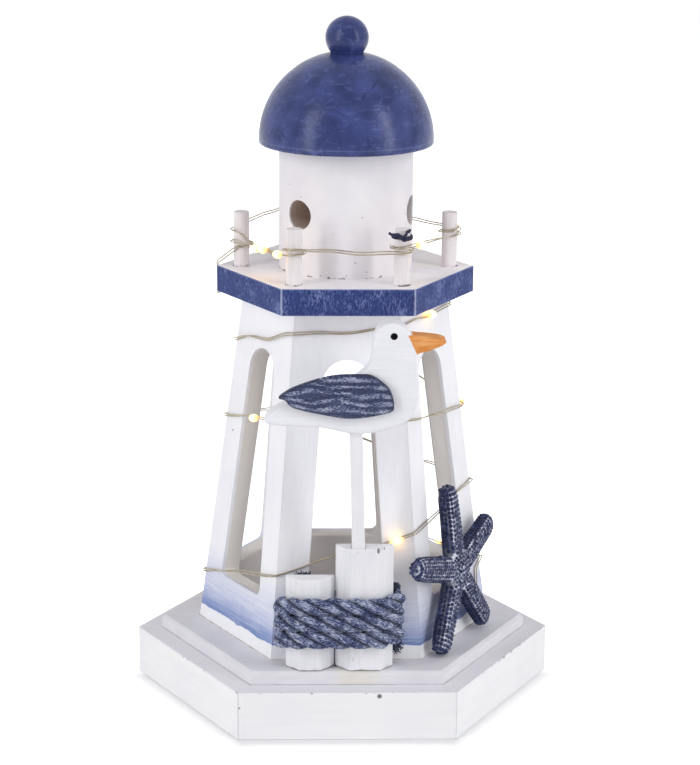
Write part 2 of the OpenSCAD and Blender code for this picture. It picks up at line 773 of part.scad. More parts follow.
// A cell between its contacts; the two cells point opposite ways
module battery_cell(s) {
    gap = seat_gap;
    x0 = bay_x0 + contact_t + (s > 0 ? spring_len : gap);
    color(CELL_GREEN)
    translate([x0, s * cell_pitch / 2, cell_z])
    rotate([0, 90, 0]) {
        translate([0, 0, s > 0 ? 0 : nub_len]) cylinder(d = cell_d, h = cell_len - nub_len - gap);
        cylinder(d = nub_d, h = cell_len - gap);
    }
}

module contact_springs() {
    color(METAL)
    for (s = [-1, 1])
        translate([s > 0 ? bay_x0 + contact_t : bay_x1 - contact_t, s * cell_pitch / 2, cell_z])
        rotate([0, s * 90, 0])
        cylinder(d1 = spring_d, d2 = nub_d, h = spring_len - seat_gap);
}

module contact_plates() {
    color(METAL)
    for (x = [bay_x0, bay_x1 - contact_t], s = [-1, 1])
        translate([x, s * cell_pitch / 2 - plate_w / 2, cell_z - plate_w / 2])
        cube([contact_t, plate_w, plate_w]);
}

// The switch body sits on the bay's floor round the slider's stem
module switch_body() {
    stem_slot = knob_len + switch_travel + 2 * door_gap;
    color(METAL)
    difference() {
        translate([switch_x - switch_bay / 2 + door_gap, -bay_w / 4, box_bottom + box_wall])
        cube([switch_bay - 2 * door_gap, bay_w / 2, switch_h]);
        translate([switch_x - knob_w / 2 - door_gap, -stem_slot / 2, box_bottom + box_wall - cut])
        cube([knob_w + 2 * door_gap, stem_slot, switch_h / 2 + cut]);
    }
}

module switch_slider() {
    color(PAINT_WHITE)
    translate([switch_x - knob_w / 2, -knob_len / 2 - switch_travel / 2, box_bottom - knob_drop])
    cube([knob_w, knob_len, knob_drop + box_wall + switch_h / 2 - door_gap]);
}

module box_screws() {
    color(METAL)
    for (s = [-1, 1])
        translate([ear_x, s * ear_y, base_h - ear_t - screw_head_t]) {
            cylinder(d = screw_head_d, h = screw_head_t);
            cylinder(d = screw_d, h = screw_head_t + ear_t + screw_grip - seat_gap);
        }
}

for (i = [0 : 5]) {
    base_rim(i);
    tower_panel(i);
    gallery_post(i);
}
step_plate();
gallery_deck();
lantern_room();
dome_roof();
dome_finial();
mooring_post_tall();
mooring_post_short();
mooring_rope();
gull_leg();
gull_body();
gull_wing();
starfish();
light_wire();
led_beads();
thread_tie();
battery_box();
battery_door();
battery_cell(-1);  // battery_cell_left
battery_cell(1);  // battery_cell_right
contact_springs();
contact_plates();
switch_body();
switch_slider();
box_screws();
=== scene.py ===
"""Looks of a wooden lighthouse ornament with a gull, a roped mooring, a starfish and a light string."""
import math
import random

import bmesh
import bpy
from mathutils import Matrix, Vector, noise
from mathutils.bvhtree import BVHTree
from mathutils.kdtree import KDTree


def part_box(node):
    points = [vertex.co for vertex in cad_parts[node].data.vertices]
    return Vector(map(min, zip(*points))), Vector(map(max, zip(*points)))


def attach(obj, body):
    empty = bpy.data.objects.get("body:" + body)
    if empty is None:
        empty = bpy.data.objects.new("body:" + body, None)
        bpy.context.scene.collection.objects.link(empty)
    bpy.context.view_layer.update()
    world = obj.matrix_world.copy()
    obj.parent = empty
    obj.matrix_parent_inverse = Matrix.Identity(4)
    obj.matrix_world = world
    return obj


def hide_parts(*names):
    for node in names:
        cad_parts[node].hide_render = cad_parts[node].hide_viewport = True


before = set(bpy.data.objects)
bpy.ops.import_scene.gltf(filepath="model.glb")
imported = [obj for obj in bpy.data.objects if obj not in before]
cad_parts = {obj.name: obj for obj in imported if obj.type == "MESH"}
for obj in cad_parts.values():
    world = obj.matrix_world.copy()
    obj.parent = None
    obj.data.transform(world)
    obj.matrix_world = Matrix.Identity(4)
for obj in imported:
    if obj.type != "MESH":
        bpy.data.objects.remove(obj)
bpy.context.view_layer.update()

MM = 0.001
FIXED = "lighthouse"
SIDES = ["front", "front_right", "back_right", "back", "back_left", "front_left"]
CORNERS = ["right", "back_right", "back_left", "left", "front_left", "front_right"]
# Half the angle that one side of the hexagon takes, seen from the axis
HALF_SIDE = math.radians(30)
# The tower's width across corners under the deck, in millimetres
TOWER_HEAD = 65.4

# Sizes that several pieces share, from the frame
step_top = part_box("step_plate")[1].z
deck_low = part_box("gallery_deck")[0].z
deck_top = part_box("gallery_deck")[1].z
tower_foot = -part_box("tower_panel_front")[0].y
tower_head = TOWER_HEAD / 2 * math.cos(HALF_SIDE) * MM
tower_slope = (tower_foot - tower_head) / (deck_low - step_top)
tower_lean = math.atan(tower_slope)


# Small tools

def srgb(code):
    """Linear colour of an sRGB hex value."""
    parts = [int(code[i:i + 2], 16) / 255 for i in (1, 3, 5)]
    return tuple(c / 12.92 if c <= 0.04045 else ((c + 0.055) / 1.055) ** 2.4 for c in parts) + (1.0,)


def add(tree, kind, inputs=None, out=0, **settings):
    """Adds a node with its settings, and its inputs as values or links.
    Returns one of its outputs, or all of them where out is None."""
    made = tree.nodes.new(kind)
    for key, value in settings.items():
        setattr(made, key, value)
    for key, value in (inputs or {}).items():
        if isinstance(value, bpy.types.NodeSocket):
            tree.links.new(value, made.inputs[key])
        else:
            made.inputs[key].default_value = value
    if out is None or not len(made.outputs):
        return made.outputs
    return made.outputs[out]


def material(name):
    """An empty node material and its tree."""
    made = bpy.data.materials.new(name)
    made.use_nodes = True
    made.node_tree.nodes.clear()
    return made, made.node_tree


def end_surface(tree, inputs, relief=None, depth=0.0):
    """Ends a material's tree in a surface, with a relief of that depth in millimetres."""
    if relief is not None:
        bump = {"Strength": 1.0, "Distance": depth * MM, "Height": relief}
        inputs["Normal"] = add(tree, "ShaderNodeBump", bump)
    shader = add(tree, "ShaderNodeBsdfPrincipled", inputs)
    add(tree, "ShaderNodeOutputMaterial", {"Surface": shader})


def new_object(name, data):
    """A new object of the scene, at the origin."""
    made = bpy.data.objects.new(name, data)
    bpy.context.scene.collection.objects.link(made)
    return made


def bake(piece):
    """Turns a piece's modifiers into its mesh."""
    graph = bpy.context.evaluated_depsgraph_get()
    mesh = bpy.data.meshes.new_from_object(piece.evaluated_get(graph), depsgraph=graph)
    piece.modifiers.clear()
    piece.data = mesh
    return piece


def reshape(piece, shift):
    """Moves every point of a piece to what shift gives for its place and normal."""
    points = [shift(v.co.copy(), v.normal.copy()) for v in piece.data.vertices]
    piece.data.vertices.foreach_set("co", [c for point in points for c in point])
    piece.data.update()


def mark(piece, name, values):
    """Keeps one number for each point of a piece, for its material to read."""
    piece.data.attributes.new(name, "FLOAT", "POINT").data.foreach_set("value", values)


def melted(piece, cell, passes):
    """Makes a piece one skin of small cells, and smooths it in passes; cell is their size in millimetres."""
    cells = piece.modifiers.new("cells", "REMESH")
    cells.mode = "VOXEL"
    cells.voxel_size = cell * MM
    smoothing = piece.modifiers.new("smoothing", "SMOOTH")
    smoothing.factor = 0.5
    smoothing.iterations = passes
    bake(piece)
    piece.data.shade_smooth()
    return piece


def place(piece, slot, *nodes):
    """A finished piece rides on the fixed body and stands for its solids."""
    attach(piece, FIXED)
    if nodes:
        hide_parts(*nodes)


def clamped(value):
    """A value held between 0 and 1."""
    return min(1.0, max(0.0, value))


def nearest_of(points):
    """A search tree that finds the nearest of some points."""
    tree = KDTree(len(points))
    for i, point in enumerate(points):
        tree.insert(point, i)
    tree.balance()
    return tree


def pattern_scale(*sizes):
    """The scale of a pattern from its size along X, Y and Z in millimetres."""
    return tuple(1 / (size * MM) for size in sizes)


# Curves

def spline_at(a, b, c, d, t):
    """A point a share t of the way from b to c, on a smooth curve that runs on from a and to d."""
    square = (2 * a - 5 * b + 4 * c - d) * t * t
    cube = (3 * b - a - 3 * c + d) * t ** 3
    return 0.5 * (2 * b + (c - a) * t + square + cube)


def open_spline(points, steps):
    """A smooth curve through points, in steps from each to the next."""
    last = len(points) - 1
    curve = []
    for i in range(last):
        four = [points[max(i - 1, 0)], points[i], points[i + 1], points[min(i + 2, last)]]
        curve += [spline_at(*four, k / steps) for k in range(steps)]
    return curve + [points[last]]


def closed_spline(points, steps):
    """A smooth loop through points, in steps from each to the next."""
    n = len(points)
    return [spline_at(points[i - 1], points[i], points[(i + 1) % n], points[(i + 2) % n], k / steps)
            for i in range(n) for k in range(steps)]


def at_bearing(radius, degrees, z):
    """A point at a distance and a bearing from the axis; bearings run from the right towards the back."""
    turn = math.radians(degrees)
    return Vector((radius * math.cos(turn), radius * math.sin(turn), z))


def path_length(points):
    """The length of a polyline."""
    return sum((b - a).length for a, b in zip(points, points[1:]))


def resampled(points, step=0.6 * MM):
    """Points an even step apart along a polyline."""
    gaps = [(b - a).length for a, b in zip(points, points[1:])]
    count = max(2, round(sum(gaps) / step))
    made, i, done = [], 0, 0.0
    for k in range(count + 1):
        at = sum(gaps) * k / count
        while i < len(gaps) - 1 and done + gaps[i] < at:
            done += gaps[i]
            i += 1
        made.append(points[i].lerp(points[i + 1], min(1.0, (at - done) / gaps[i])))
    return made


def carried_frames(points):
    """Two directions square to a polyline at each point, carried along it without twist."""
    # Any direction that doesn't lie along the line will do to start with
    side = Vector((0.31, 0.17, 0.94))
    frames = []
    for i in range(len(points)):
        ahead = (points[min(i + 1, len(points) - 1)] - points[max(i - 1, 0)]).normalized()
        side = (side - side.dot(ahead) * ahead).normalized()
        frames.append((side.copy(), ahead.cross(side)))
    return frames


def polylines(name, lines, **attributes):
    """A mesh of open polylines, with one number per line in each named attribute."""
    verts = [p for line in lines for p in line]
    edges, start = [], 0
    for line in lines:
        edges += [(start + i, start + i + 1) for i in range(len(line) - 1)]
        start += len(line)
    mesh = bpy.data.meshes.new(name)
    mesh.from_pydata(verts, edges, [])
    for key, values in attributes.items():
        layer = mesh.attributes.new(key, "FLOAT", "POINT")
        layer.data.foreach_set("value", [v for v, line in zip(values, lines) for _ in line])
    return new_object(name, mesh)


# Geometry node trees

def node_group(name, **inputs):
    """A geometry tree with named inputs; returns the tree and what is given to it, by name."""
    tree = bpy.data.node_groups.new(name, "GeometryNodeTree")
    tree.interface.new_socket("Geometry", in_out="INPUT", socket_type="NodeSocketGeometry")
    for key, kind in inputs.items():
        tree.interface.new_socket(key, in_out="INPUT", socket_type="NodeSocket" + kind)
    tree.interface.new_socket("Geometry", in_out="OUTPUT", socket_type="NodeSocketGeometry")
    given = add(tree, "NodeGroupInput", out=None)
    return tree, {socket.name: socket for socket in given if socket.name}


def end_group(tree, geometry, paint):
    """Ends a geometry tree in plain geometry of one material."""
    whole = add(tree, "GeometryNodeRealizeInstances", {"Geometry": geometry})
    smooth = add(tree, "GeometryNodeSetShadeSmooth", {"Geometry": whole})
    painted = add(tree, "GeometryNodeSetMaterial", {"Geometry": smooth, "Material": paint})
    add(tree, "NodeGroupOutput", {"Geometry": painted})


def run_group(piece, tree, **values):
    """Runs a geometry tree on a piece with these inputs, and keeps the result as its mesh."""
    modifier = piece.modifiers.new(tree.name, "NODES")
    modifier.node_group = tree
    for item in tree.interface.items_tree:
        if item.in_out == "INPUT" and item.name in values:
            modifier[item.identifier] = values[item.name]
    bake(piece)


def make_tube_tree():
    """Tubes along polylines, with the length along and the turn around kept for the materials."""
    tree, given = node_group("tubes", Radius="Float", Sides="Int", Paint="Material")
    curve = add(tree, "GeometryNodeMeshToCurve", {"Mesh": given["Geometry"]})
    along = add(tree, "GeometryNodeSplineParameter", out=1)
    curve = add(tree, "GeometryNodeStoreNamedAttribute",
                {"Geometry": curve, "Name": "along", "Value": along})
    ring = add(tree, "GeometryNodeCurvePrimitiveCircle",
               {"Resolution": given["Sides"], "Radius": given["Radius"]})
    around = add(tree, "GeometryNodeSplineParameter", out=0)
    ring = add(tree, "GeometryNodeStoreNamedAttribute",
               {"Geometry": ring, "Name": "around", "Value": around})
    tubes = add(tree, "GeometryNodeCurveToMesh", {"Curve": curve, "Profile Curve": ring, "Fill Caps": True})
    end_group(tree, tubes, given["Paint"])
    return tree


def make_bead_tree():
    """Beads in rows along polylines, longer than wide, each a little different."""
    tree, given = node_group("beads", Pitch="Float", Radius="Float", Seed="Int", Paint="Material")
    curve = add(tree, "GeometryNodeMeshToCurve", {"Mesh": given["Geometry"]})
    spots = add(tree, "GeometryNodeCurveToPoints", {"Curve": curve, "Length": given["Pitch"]},
                out=None, mode="LENGTH")
    tone = add(tree, "FunctionNodeRandomValue", {2: 0.0, 3: 1.0, "Seed": given["Seed"]}, out=1)
    points = add(tree, "GeometryNodeStoreNamedAttribute",
                 {"Geometry": spots["Points"], "Name": "tone", "Value": tone})
    bead = add(tree, "GeometryNodeMeshIcoSphere", {"Radius": given["Radius"], "Subdivisions": 2})
    size = add(tree, "FunctionNodeRandomValue",
               {0: (0.85, 0.85, 0.95), 1: (1.12, 1.12, 1.3),
                "Seed": given["Seed"]}, data_type="FLOAT_VECTOR")
    beads = add(tree, "GeometryNodeInstanceOnPoints",
                {"Points": points, "Instance": bead, "Rotation": spots["Rotation"], "Scale": size})
    end_group(tree, beads, given["Paint"])
    return tree


def make_fuzz_tree():
    """Loose fibre ends that stand out of a yarn's surface."""
    tree, given = node_group("fuzz", Density="Float", Length="Float", Width="Float", Seed="Int",
                             Paint="Material")
    spots = add(tree, "GeometryNodeDistributePointsOnFaces",
                {"Mesh": given["Geometry"], "Density": given["Density"], "Seed": given["Seed"]}, out=None)
    lean = add(tree, "FunctionNodeRandomValue",
               {0: (-1.35, -1.35, -3.1), 1: (1.35, 1.35, 3.1),
                "Seed": given["Seed"]}, data_type="FLOAT_VECTOR")
    lean = add(tree, "FunctionNodeEulerToRotation", {"Euler": lean})
    turned = add(tree, "FunctionNodeRotateRotation", {"Rotation": spots["Rotation"], "Rotate By": lean},
                 rotation_space="LOCAL")
    tone = add(tree, "FunctionNodeRandomValue", {2: 0.0, 3: 1.0, "Seed": given["Seed"]}, out=1)
    points = add(tree, "GeometryNodeStoreNamedAttribute",
                 {"Geometry": spots["Points"], "Name": "tone", "Value": tone})
    fibre = add(tree, "GeometryNodeMeshCone",
                {"Vertices": 3, "Side Segments": 2, "Radius Top": 0.0, "Radius Bottom": given["Width"],
                 "Depth": given["Length"]})
    spot = add(tree, "GeometryNodeInputPosition")
    height = add(tree, "ShaderNodeSeparateXYZ", {0: spot}, out=2)
    bow = add(tree, "ShaderNodeMath", {0: height, 1: height}, operation="MULTIPLY")
    bow = add(tree, "ShaderNodeMath", {0: bow, 1: given["Length"]}, operation="DIVIDE")
    bend = add(tree, "ShaderNodeCombineXYZ", {0: bow})
    fibre = add(tree, "GeometryNodeSetPosition", {"Geometry": fibre, "Offset": bend})
    size = add(tree, "FunctionNodeRandomValue", {2: 0.4, 3: 1.0, "Seed": given["Seed"]}, out=1)
    fibres = add(tree, "GeometryNodeInstanceOnPoints",
                 {"Points": points, "Instance": fibre, "Rotation": turned, "Scale": size})
    end_group(tree, fibres, given["Paint"])
    return tree


def make_drop_tree():
    """Resin drops set along a wire: each point holds the wire's direction."""
    tree, given = node_group("drops", Radius="Float", Length="Float", Paint="Material")
    line = add(tree, "GeometryNodeMeshLine",
               {"Count": 13, "Start Location": (0, 0, -0.5), "Offset": (0, 0, 1 / 12)})
    size = add(tree, "ShaderNodeCombineXYZ", {0: 1.0, 1: 1.0, 2: given["Length"]})
    line = add(tree, "GeometryNodeTransform", {"Geometry": line, "Scale": size})
    curve = add(tree, "GeometryNodeMeshToCurve", {"Mesh": line})
    part = add(tree, "GeometryNodeSplineParameter", out=0)
    arc = add(tree, "ShaderNodeMath", {0: part, 1: math.pi}, operation="MULTIPLY")
    arc = add(tree, "ShaderNodeMath", {0: arc}, operation="SINE")
    arc = add(tree, "ShaderNodeMath", {0: arc, 1: 0.0}, operation="MAXIMUM")
    arc = add(tree, "ShaderNodeMath", {0: arc, 1: 0.62}, operation="POWER")
    arc = add(tree, "ShaderNodeMath", {0: arc, 1: 0.9, 2: 0.1}, operation="MULTIPLY_ADD")
    curve = add(tree, "GeometryNodeStoreNamedAttribute", {"Geometry": curve, "Name": "core", "Value": arc})
    ring = add(tree, "GeometryNodeCurvePrimitiveCircle", {"Resolution": 20, "Radius": given["Radius"]})
    drop = add(tree, "GeometryNodeCurveToMesh",
               {"Curve": curve, "Profile Curve": ring, "Scale": arc, "Fill Caps": True})
    heading = add(tree, "GeometryNodeInputNamedAttribute", {"Name": "heading"}, data_type="FLOAT_VECTOR")
    turned = add(tree, "FunctionNodeAlignRotationToVector", {"Vector": heading}, axis="Z")
    drops = add(tree, "GeometryNodeInstanceOnPoints",
                {"Points": given["Geometry"], "Instance": drop, "Rotation": turned})
    end_group(tree, drops, given["Paint"])
    return tree


tube_tree = make_tube_tree()
bead_tree = make_bead_tree()
fuzz_tree = make_fuzz_tree()
drop_tree = make_drop_tree()


# Materials

def chalk_paint(tree, tone, shade, stretch):
    """White chalk paint brushed over wood: matt, with faint streaks along the strokes and a few specks.
    stretch is a stroke's size along X, Y and Z in millimetres. Returns coordinates, colour and height."""
    coords = add(tree, "ShaderNodeTexCoord", out=3)
    strokes = add(tree, "ShaderNodeMapping", {"Vector": coords, "Scale": pattern_scale(*stretch)})
    streak = add(tree, "ShaderNodeTexNoise",
                 {"Vector": strokes, "Scale": 1.0, "Detail": 3.0, "Roughness": 0.6})
    blotch = add(tree, "ShaderNodeTexNoise", {"Vector": coords, "Scale": 1 / (16 * MM), "Detail": 2.0})
    mixed = add(tree, "ShaderNodeMath", {0: streak, 1: blotch}, operation="ADD")
    mixed = add(tree, "ShaderNodeMapRange", {"Value": mixed, "From Min": 0.78, "From Max": 1.22})
    colour = add(tree, "ShaderNodeMix", {0: mixed, 6: srgb(shade), 7: srgb(tone)}, out=2, data_type="RGBA")
    cell = add(tree, "ShaderNodeTexVoronoi", {"Vector": coords, "Scale": 1 / (11 * MM)}, out=None)
    speck = add(tree, "ShaderNodeMapRange",
                {"Value": cell["Distance"], "From Min": 0.02, "From Max": 0.045, "To Min": 1.0,
                 "To Max": 0.0})
    chosen = add(tree, "ShaderNodeSeparateColor", {0: cell["Color"]})
    chosen = add(tree, "ShaderNodeMath", {0: chosen, 1: 0.72}, operation="GREATER_THAN")
    speck = add(tree, "ShaderNodeMath", {0: speck, 1: chosen}, operation="MULTIPLY")
    colour = add(tree, "ShaderNodeMix", {0: speck, 6: colour, 7: srgb("#8d8a8c")}, out=2, data_type="RGBA")
    return coords, colour, streak


def white_paint(name, tone, shade, stretch):
    """Plain chalk paint."""
    made, tree = material(name)
    _, colour, height = chalk_paint(tree, tone, shade, stretch)
    end_surface(tree, {"Base Color": colour, "Roughness": 0.62}, height, depth=0.06)
    return made


def hexagon_reach(tree, coords):
    """Distance from the upright axis, square to the nearest of the hexagon's six sides."""
    reach = None
    for turn in (30, 90, 150):
        way = (math.cos(math.radians(turn)), math.sin(math.radians(turn)), 0)
        part = add(tree, "ShaderNodeVectorMath", {0: coords, 1: way}, out=1, operation="DOT_PRODUCT")
        part = add(tree, "ShaderNodeMath", {0: part}, operation="ABSOLUTE")
        if reach is not None:
            part = add(tree, "ShaderNodeMath", {0: reach, 1: part}, operation="MAXIMUM")
        reach = part
    return reach


def tower_paint():
    """Chalk paint on the tower boards, painted darker and warmer as shade in the windows and inside, and a
    blue wash brushed round the foot above a bare white strip."""
    made, tree = material("tower_chalk_paint_with_blue_wash")
    coords, colour, height = chalk_paint(tree, "#f9f9fe", "#f3f3f9", (0.9, 0.9, 24))
    z = add(tree, "ShaderNodeSeparateXYZ", {0: coords}, out=2)
    skin = add(tree, "ShaderNodeMath", {0: z, 1: tower_slope, 2: hexagon_reach(tree, coords)},
               operation="MULTIPLY_ADD")
    outside = add(tree, "ShaderNodeMath", {0: skin, 1: tower_foot + step_top * tower_slope - 1.2 * MM},
                  operation="GREATER_THAN")
    # Painted shade: the window reveals and the inside faces are darker and warmer than the outside
    reveal_shade = add(tree, "ShaderNodeMath", {0: outside, 1: -1.0, 2: 1.0}, operation="MULTIPLY_ADD")
    colour = add(tree, "ShaderNodeMix", {0: reveal_shade, 6: colour, 7: srgb("#e9e5e2")}, out=2, data_type="RGBA")
    flat = add(tree, "ShaderNodeMapping", {"Vector": coords, "Scale": (1 / (6 * MM), 1 / (6 * MM), 0)})
    wave = add(tree, "ShaderNodeTexNoise", {"Vector": flat, "Scale": 1.0, "Detail": 2.0})
    sway = add(tree, "ShaderNodeMath", {0: wave, 1: -2.2 * MM, 2: 1.1 * MM}, operation="MULTIPLY_ADD")
    level = add(tree, "ShaderNodeMath", {0: z, 1: sway}, operation="ADD")
    strokes = add(tree, "ShaderNodeMapping", {"Vector": coords, "Scale": pattern_scale(13, 13, 0.55)})
    streak = add(tree, "ShaderNodeTexNoise",
                 {"Vector": strokes, "Scale": 1.0, "Detail": 3.0, "Roughness": 0.65})
    edge = step_top + 4.2 * MM
    start = add(tree, "ShaderNodeMapRange",
                {"Value": level, "From Min": edge, "From Max": edge + 0.35 * MM})
    start = add(tree, "ShaderNodeMath", {0: start, 1: outside}, operation="MULTIPLY")
    fade = add(tree, "ShaderNodeMapRange",
               {"Value": level, "From Min": edge, "From Max": edge + 21 * MM, "To Min": 1.0, "To Max": 0.0})
    rough = add(tree, "ShaderNodeMath", {0: streak, 1: 1.5, 2: 0.1}, operation="MULTIPLY_ADD")
    wash = add(tree, "ShaderNodeMath", {0: fade, 1: rough}, operation="MULTIPLY")
    wash = add(tree, "ShaderNodeMath", {0: wash, 1: start}, operation="MULTIPLY", use_clamp=True)
    colour = add(tree, "ShaderNodeMix", {0: wash, 6: colour, 7: srgb("#9eacd8")}, out=2, data_type="RGBA")
    low = add(tree, "ShaderNodeMapRange",
              {"Value": level, "From Min": edge + 0.6 * MM, "From Max": edge + 6.5 * MM, "To Min": 0.95,
               "To Max": 0.0})
    deep = add(tree, "ShaderNodeMath", {0: low, 1: rough}, operation="MULTIPLY")
    deep = add(tree, "ShaderNodeMath", {0: deep, 1: start}, operation="MULTIPLY", use_clamp=True)
    colour = add(tree, "ShaderNodeMix", {0: deep, 6: colour, 7: srgb("#6780ba")}, out=2, data_type="RGBA")
    end_surface(tree, {"Base Color": colour, "Roughness": 0.6}, height, depth=0.05)
    return made


def step_paint():
    """Chalk paint on the step plate, with a thin line of yellowed wood glue round the tower's foot."""
    made, tree = material("step_chalk_paint_with_glue_line")
    coords, colour, height = chalk_paint(tree, "#e9e8ee", "#e1e0e7", (9, 9, 1.5))
    ragged = add(tree, "ShaderNodeTexNoise", {"Vector": coords, "Scale": 1 / (3 * MM), "Detail": 3.0})
    width = add(tree, "ShaderNodeMath", {0: ragged, 1: 1.8 * MM, 2: -0.55 * MM}, operation="MULTIPLY_ADD")
    past = add(tree, "ShaderNodeMath", {0: hexagon_reach(tree, coords), 1: tower_foot},
               operation="SUBTRACT")
    inside = add(tree, "ShaderNodeMath", {0: past, 1: width}, operation="LESS_THAN")
    near = add(tree, "ShaderNodeMath", {0: past, 1: -2 * MM}, operation="GREATER_THAN")
    glue = add(tree, "ShaderNodeMath", {0: inside, 1: near}, operation="MULTIPLY")
    z = add(tree, "ShaderNodeSeparateXYZ", {0: coords}, out=2)
    above = add(tree, "ShaderNodeMath", {0: z, 1: step_top - 0.5 * MM}, operation="GREATER_THAN")
    glue = add(tree, "ShaderNodeMath", {0: glue, 1: above}, operation="MULTIPLY")
    glue = add(tree, "ShaderNodeMath", {0: glue, 1: 0.75}, operation="MULTIPLY")
    colour = add(tree, "ShaderNodeMix", {0: glue, 6: colour, 7: srgb("#b1a588")}, out=2, data_type="RGBA")
    drip = add(tree, "ShaderNodeVectorMath", {0: coords, 1: (3 * MM, -51.5 * MM, 17.5 * MM)},
               out=1, operation="DISTANCE")
    drip = add(tree, "ShaderNodeMath", {0: ragged, 1: 5 * MM, 2: drip}, operation="MULTIPLY_ADD")
    stain = add(tree, "ShaderNodeMapRange",
                {"Value": drip, "From Min": 7 * MM, "From Max": 11 * MM, "To Min": 0.35, "To Max": 0.0})
    colour = add(tree, "ShaderNodeMix", {0: stain, 6: colour, 7: srgb("#e9e2c4")}, out=2, data_type="RGBA")
    end_surface(tree, {"Base Color": colour, "Roughness": 0.6}, height, depth=0.04)
    return made


def base_paint():
    """Chalk paint on the base strips, painted a little darker on top as shade, with dirt and painted shade
    along the step plate's foot, specks of wood along the upper edge and one nail hole left open on the front."""
    made, tree = material("base_chalk_paint_with_nail_hole")
    coords, colour, height = chalk_paint(tree, "#f9f9fb", "#f4f4f7", (30, 30, 2.5))
    # Painted shade: the upward faces are a little darker
    upward = add(tree, "ShaderNodeSeparateXYZ", {0: add(tree, "ShaderNodeTexCoord", out=1)}, out=2)
    top_shade = add(tree, "ShaderNodeMapRange", {"Value": upward, "From Min": 0.5, "From Max": 0.95})
    colour = add(tree, "ShaderNodeMix", {0: top_shade, 6: colour, 7: srgb("#ecebf2")}, out=2, data_type="RGBA")
    reach = hexagon_reach(tree, coords)
    ragged = add(tree, "ShaderNodeTexNoise", {"Vector": coords, "Scale": 1 / (2.4 * MM), "Detail": 4.0})
    beside = add(tree, "ShaderNodeMath", {0: reach, 1: -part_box("step_plate")[0].y}, operation="SUBTRACT")
    # Dirt and painted shade: a ragged dark line on the base's top along the step plate's foot
    dirt = add(tree, "ShaderNodeMapRange",
               {"Value": beside, "From Min": 0.1 * MM, "From Max": 0.75 * MM, "To Min": 0.8, "To Max": 0.0})
    dirt = add(tree, "ShaderNodeMath", {0: dirt, 1: ragged}, operation="MULTIPLY")
    dirt = add(tree, "ShaderNodeMath", {0: dirt, 1: top_shade}, operation="MULTIPLY")
    colour = add(tree, "ShaderNodeMix", {0: dirt, 6: colour, 7: srgb("#8f8a86")}, out=2, data_type="RGBA")
    rim_lo, rim_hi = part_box("base_rim_front")
    z = add(tree, "ShaderNodeSeparateXYZ", {0: coords}, out=2)
    corner = add(tree, "ShaderNodeMath", {0: reach, 1: z}, operation="ADD")
    corner = add(tree, "ShaderNodeMath", {0: corner, 1: rim_hi.z - rim_lo.y - 0.45 * MM},
                 operation="GREATER_THAN")
    worn = add(tree, "ShaderNodeMapRange",
               {"Value": ragged, "From Min": 0.58, "From Max": 0.66, "To Max": 0.6})
    worn = add(tree, "ShaderNodeMath", {0: worn, 1: corner}, operation="MULTIPLY")
    colour = add(tree, "ShaderNodeMix", {0: worn, 6: colour, 7: srgb("#8d857c")}, out=2, data_type="RGBA")
    nail = add(tree, "ShaderNodeVectorMath", {0: coords, 1: (9.9 * MM, -58.8 * MM, 14.4 * MM)},
               out=1, operation="DISTANCE")
    hole = add(tree, "ShaderNodeMapRange",
               {"Value": nail, "From Min": 0.45 * MM, "From Max": 0.95 * MM, "To Min": 1.0, "To Max": 0.0})
    colour = add(tree, "ShaderNodeMix", {0: hole, 6: colour, 7: srgb("#6d675f")}, out=2, data_type="RGBA")
    height = add(tree, "ShaderNodeMath", {0: hole, 1: -8.0, 2: height}, operation="MULTIPLY_ADD")
    end_surface(tree, {"Base Color": colour, "Roughness": 0.6}, height, depth=0.035)
    return made


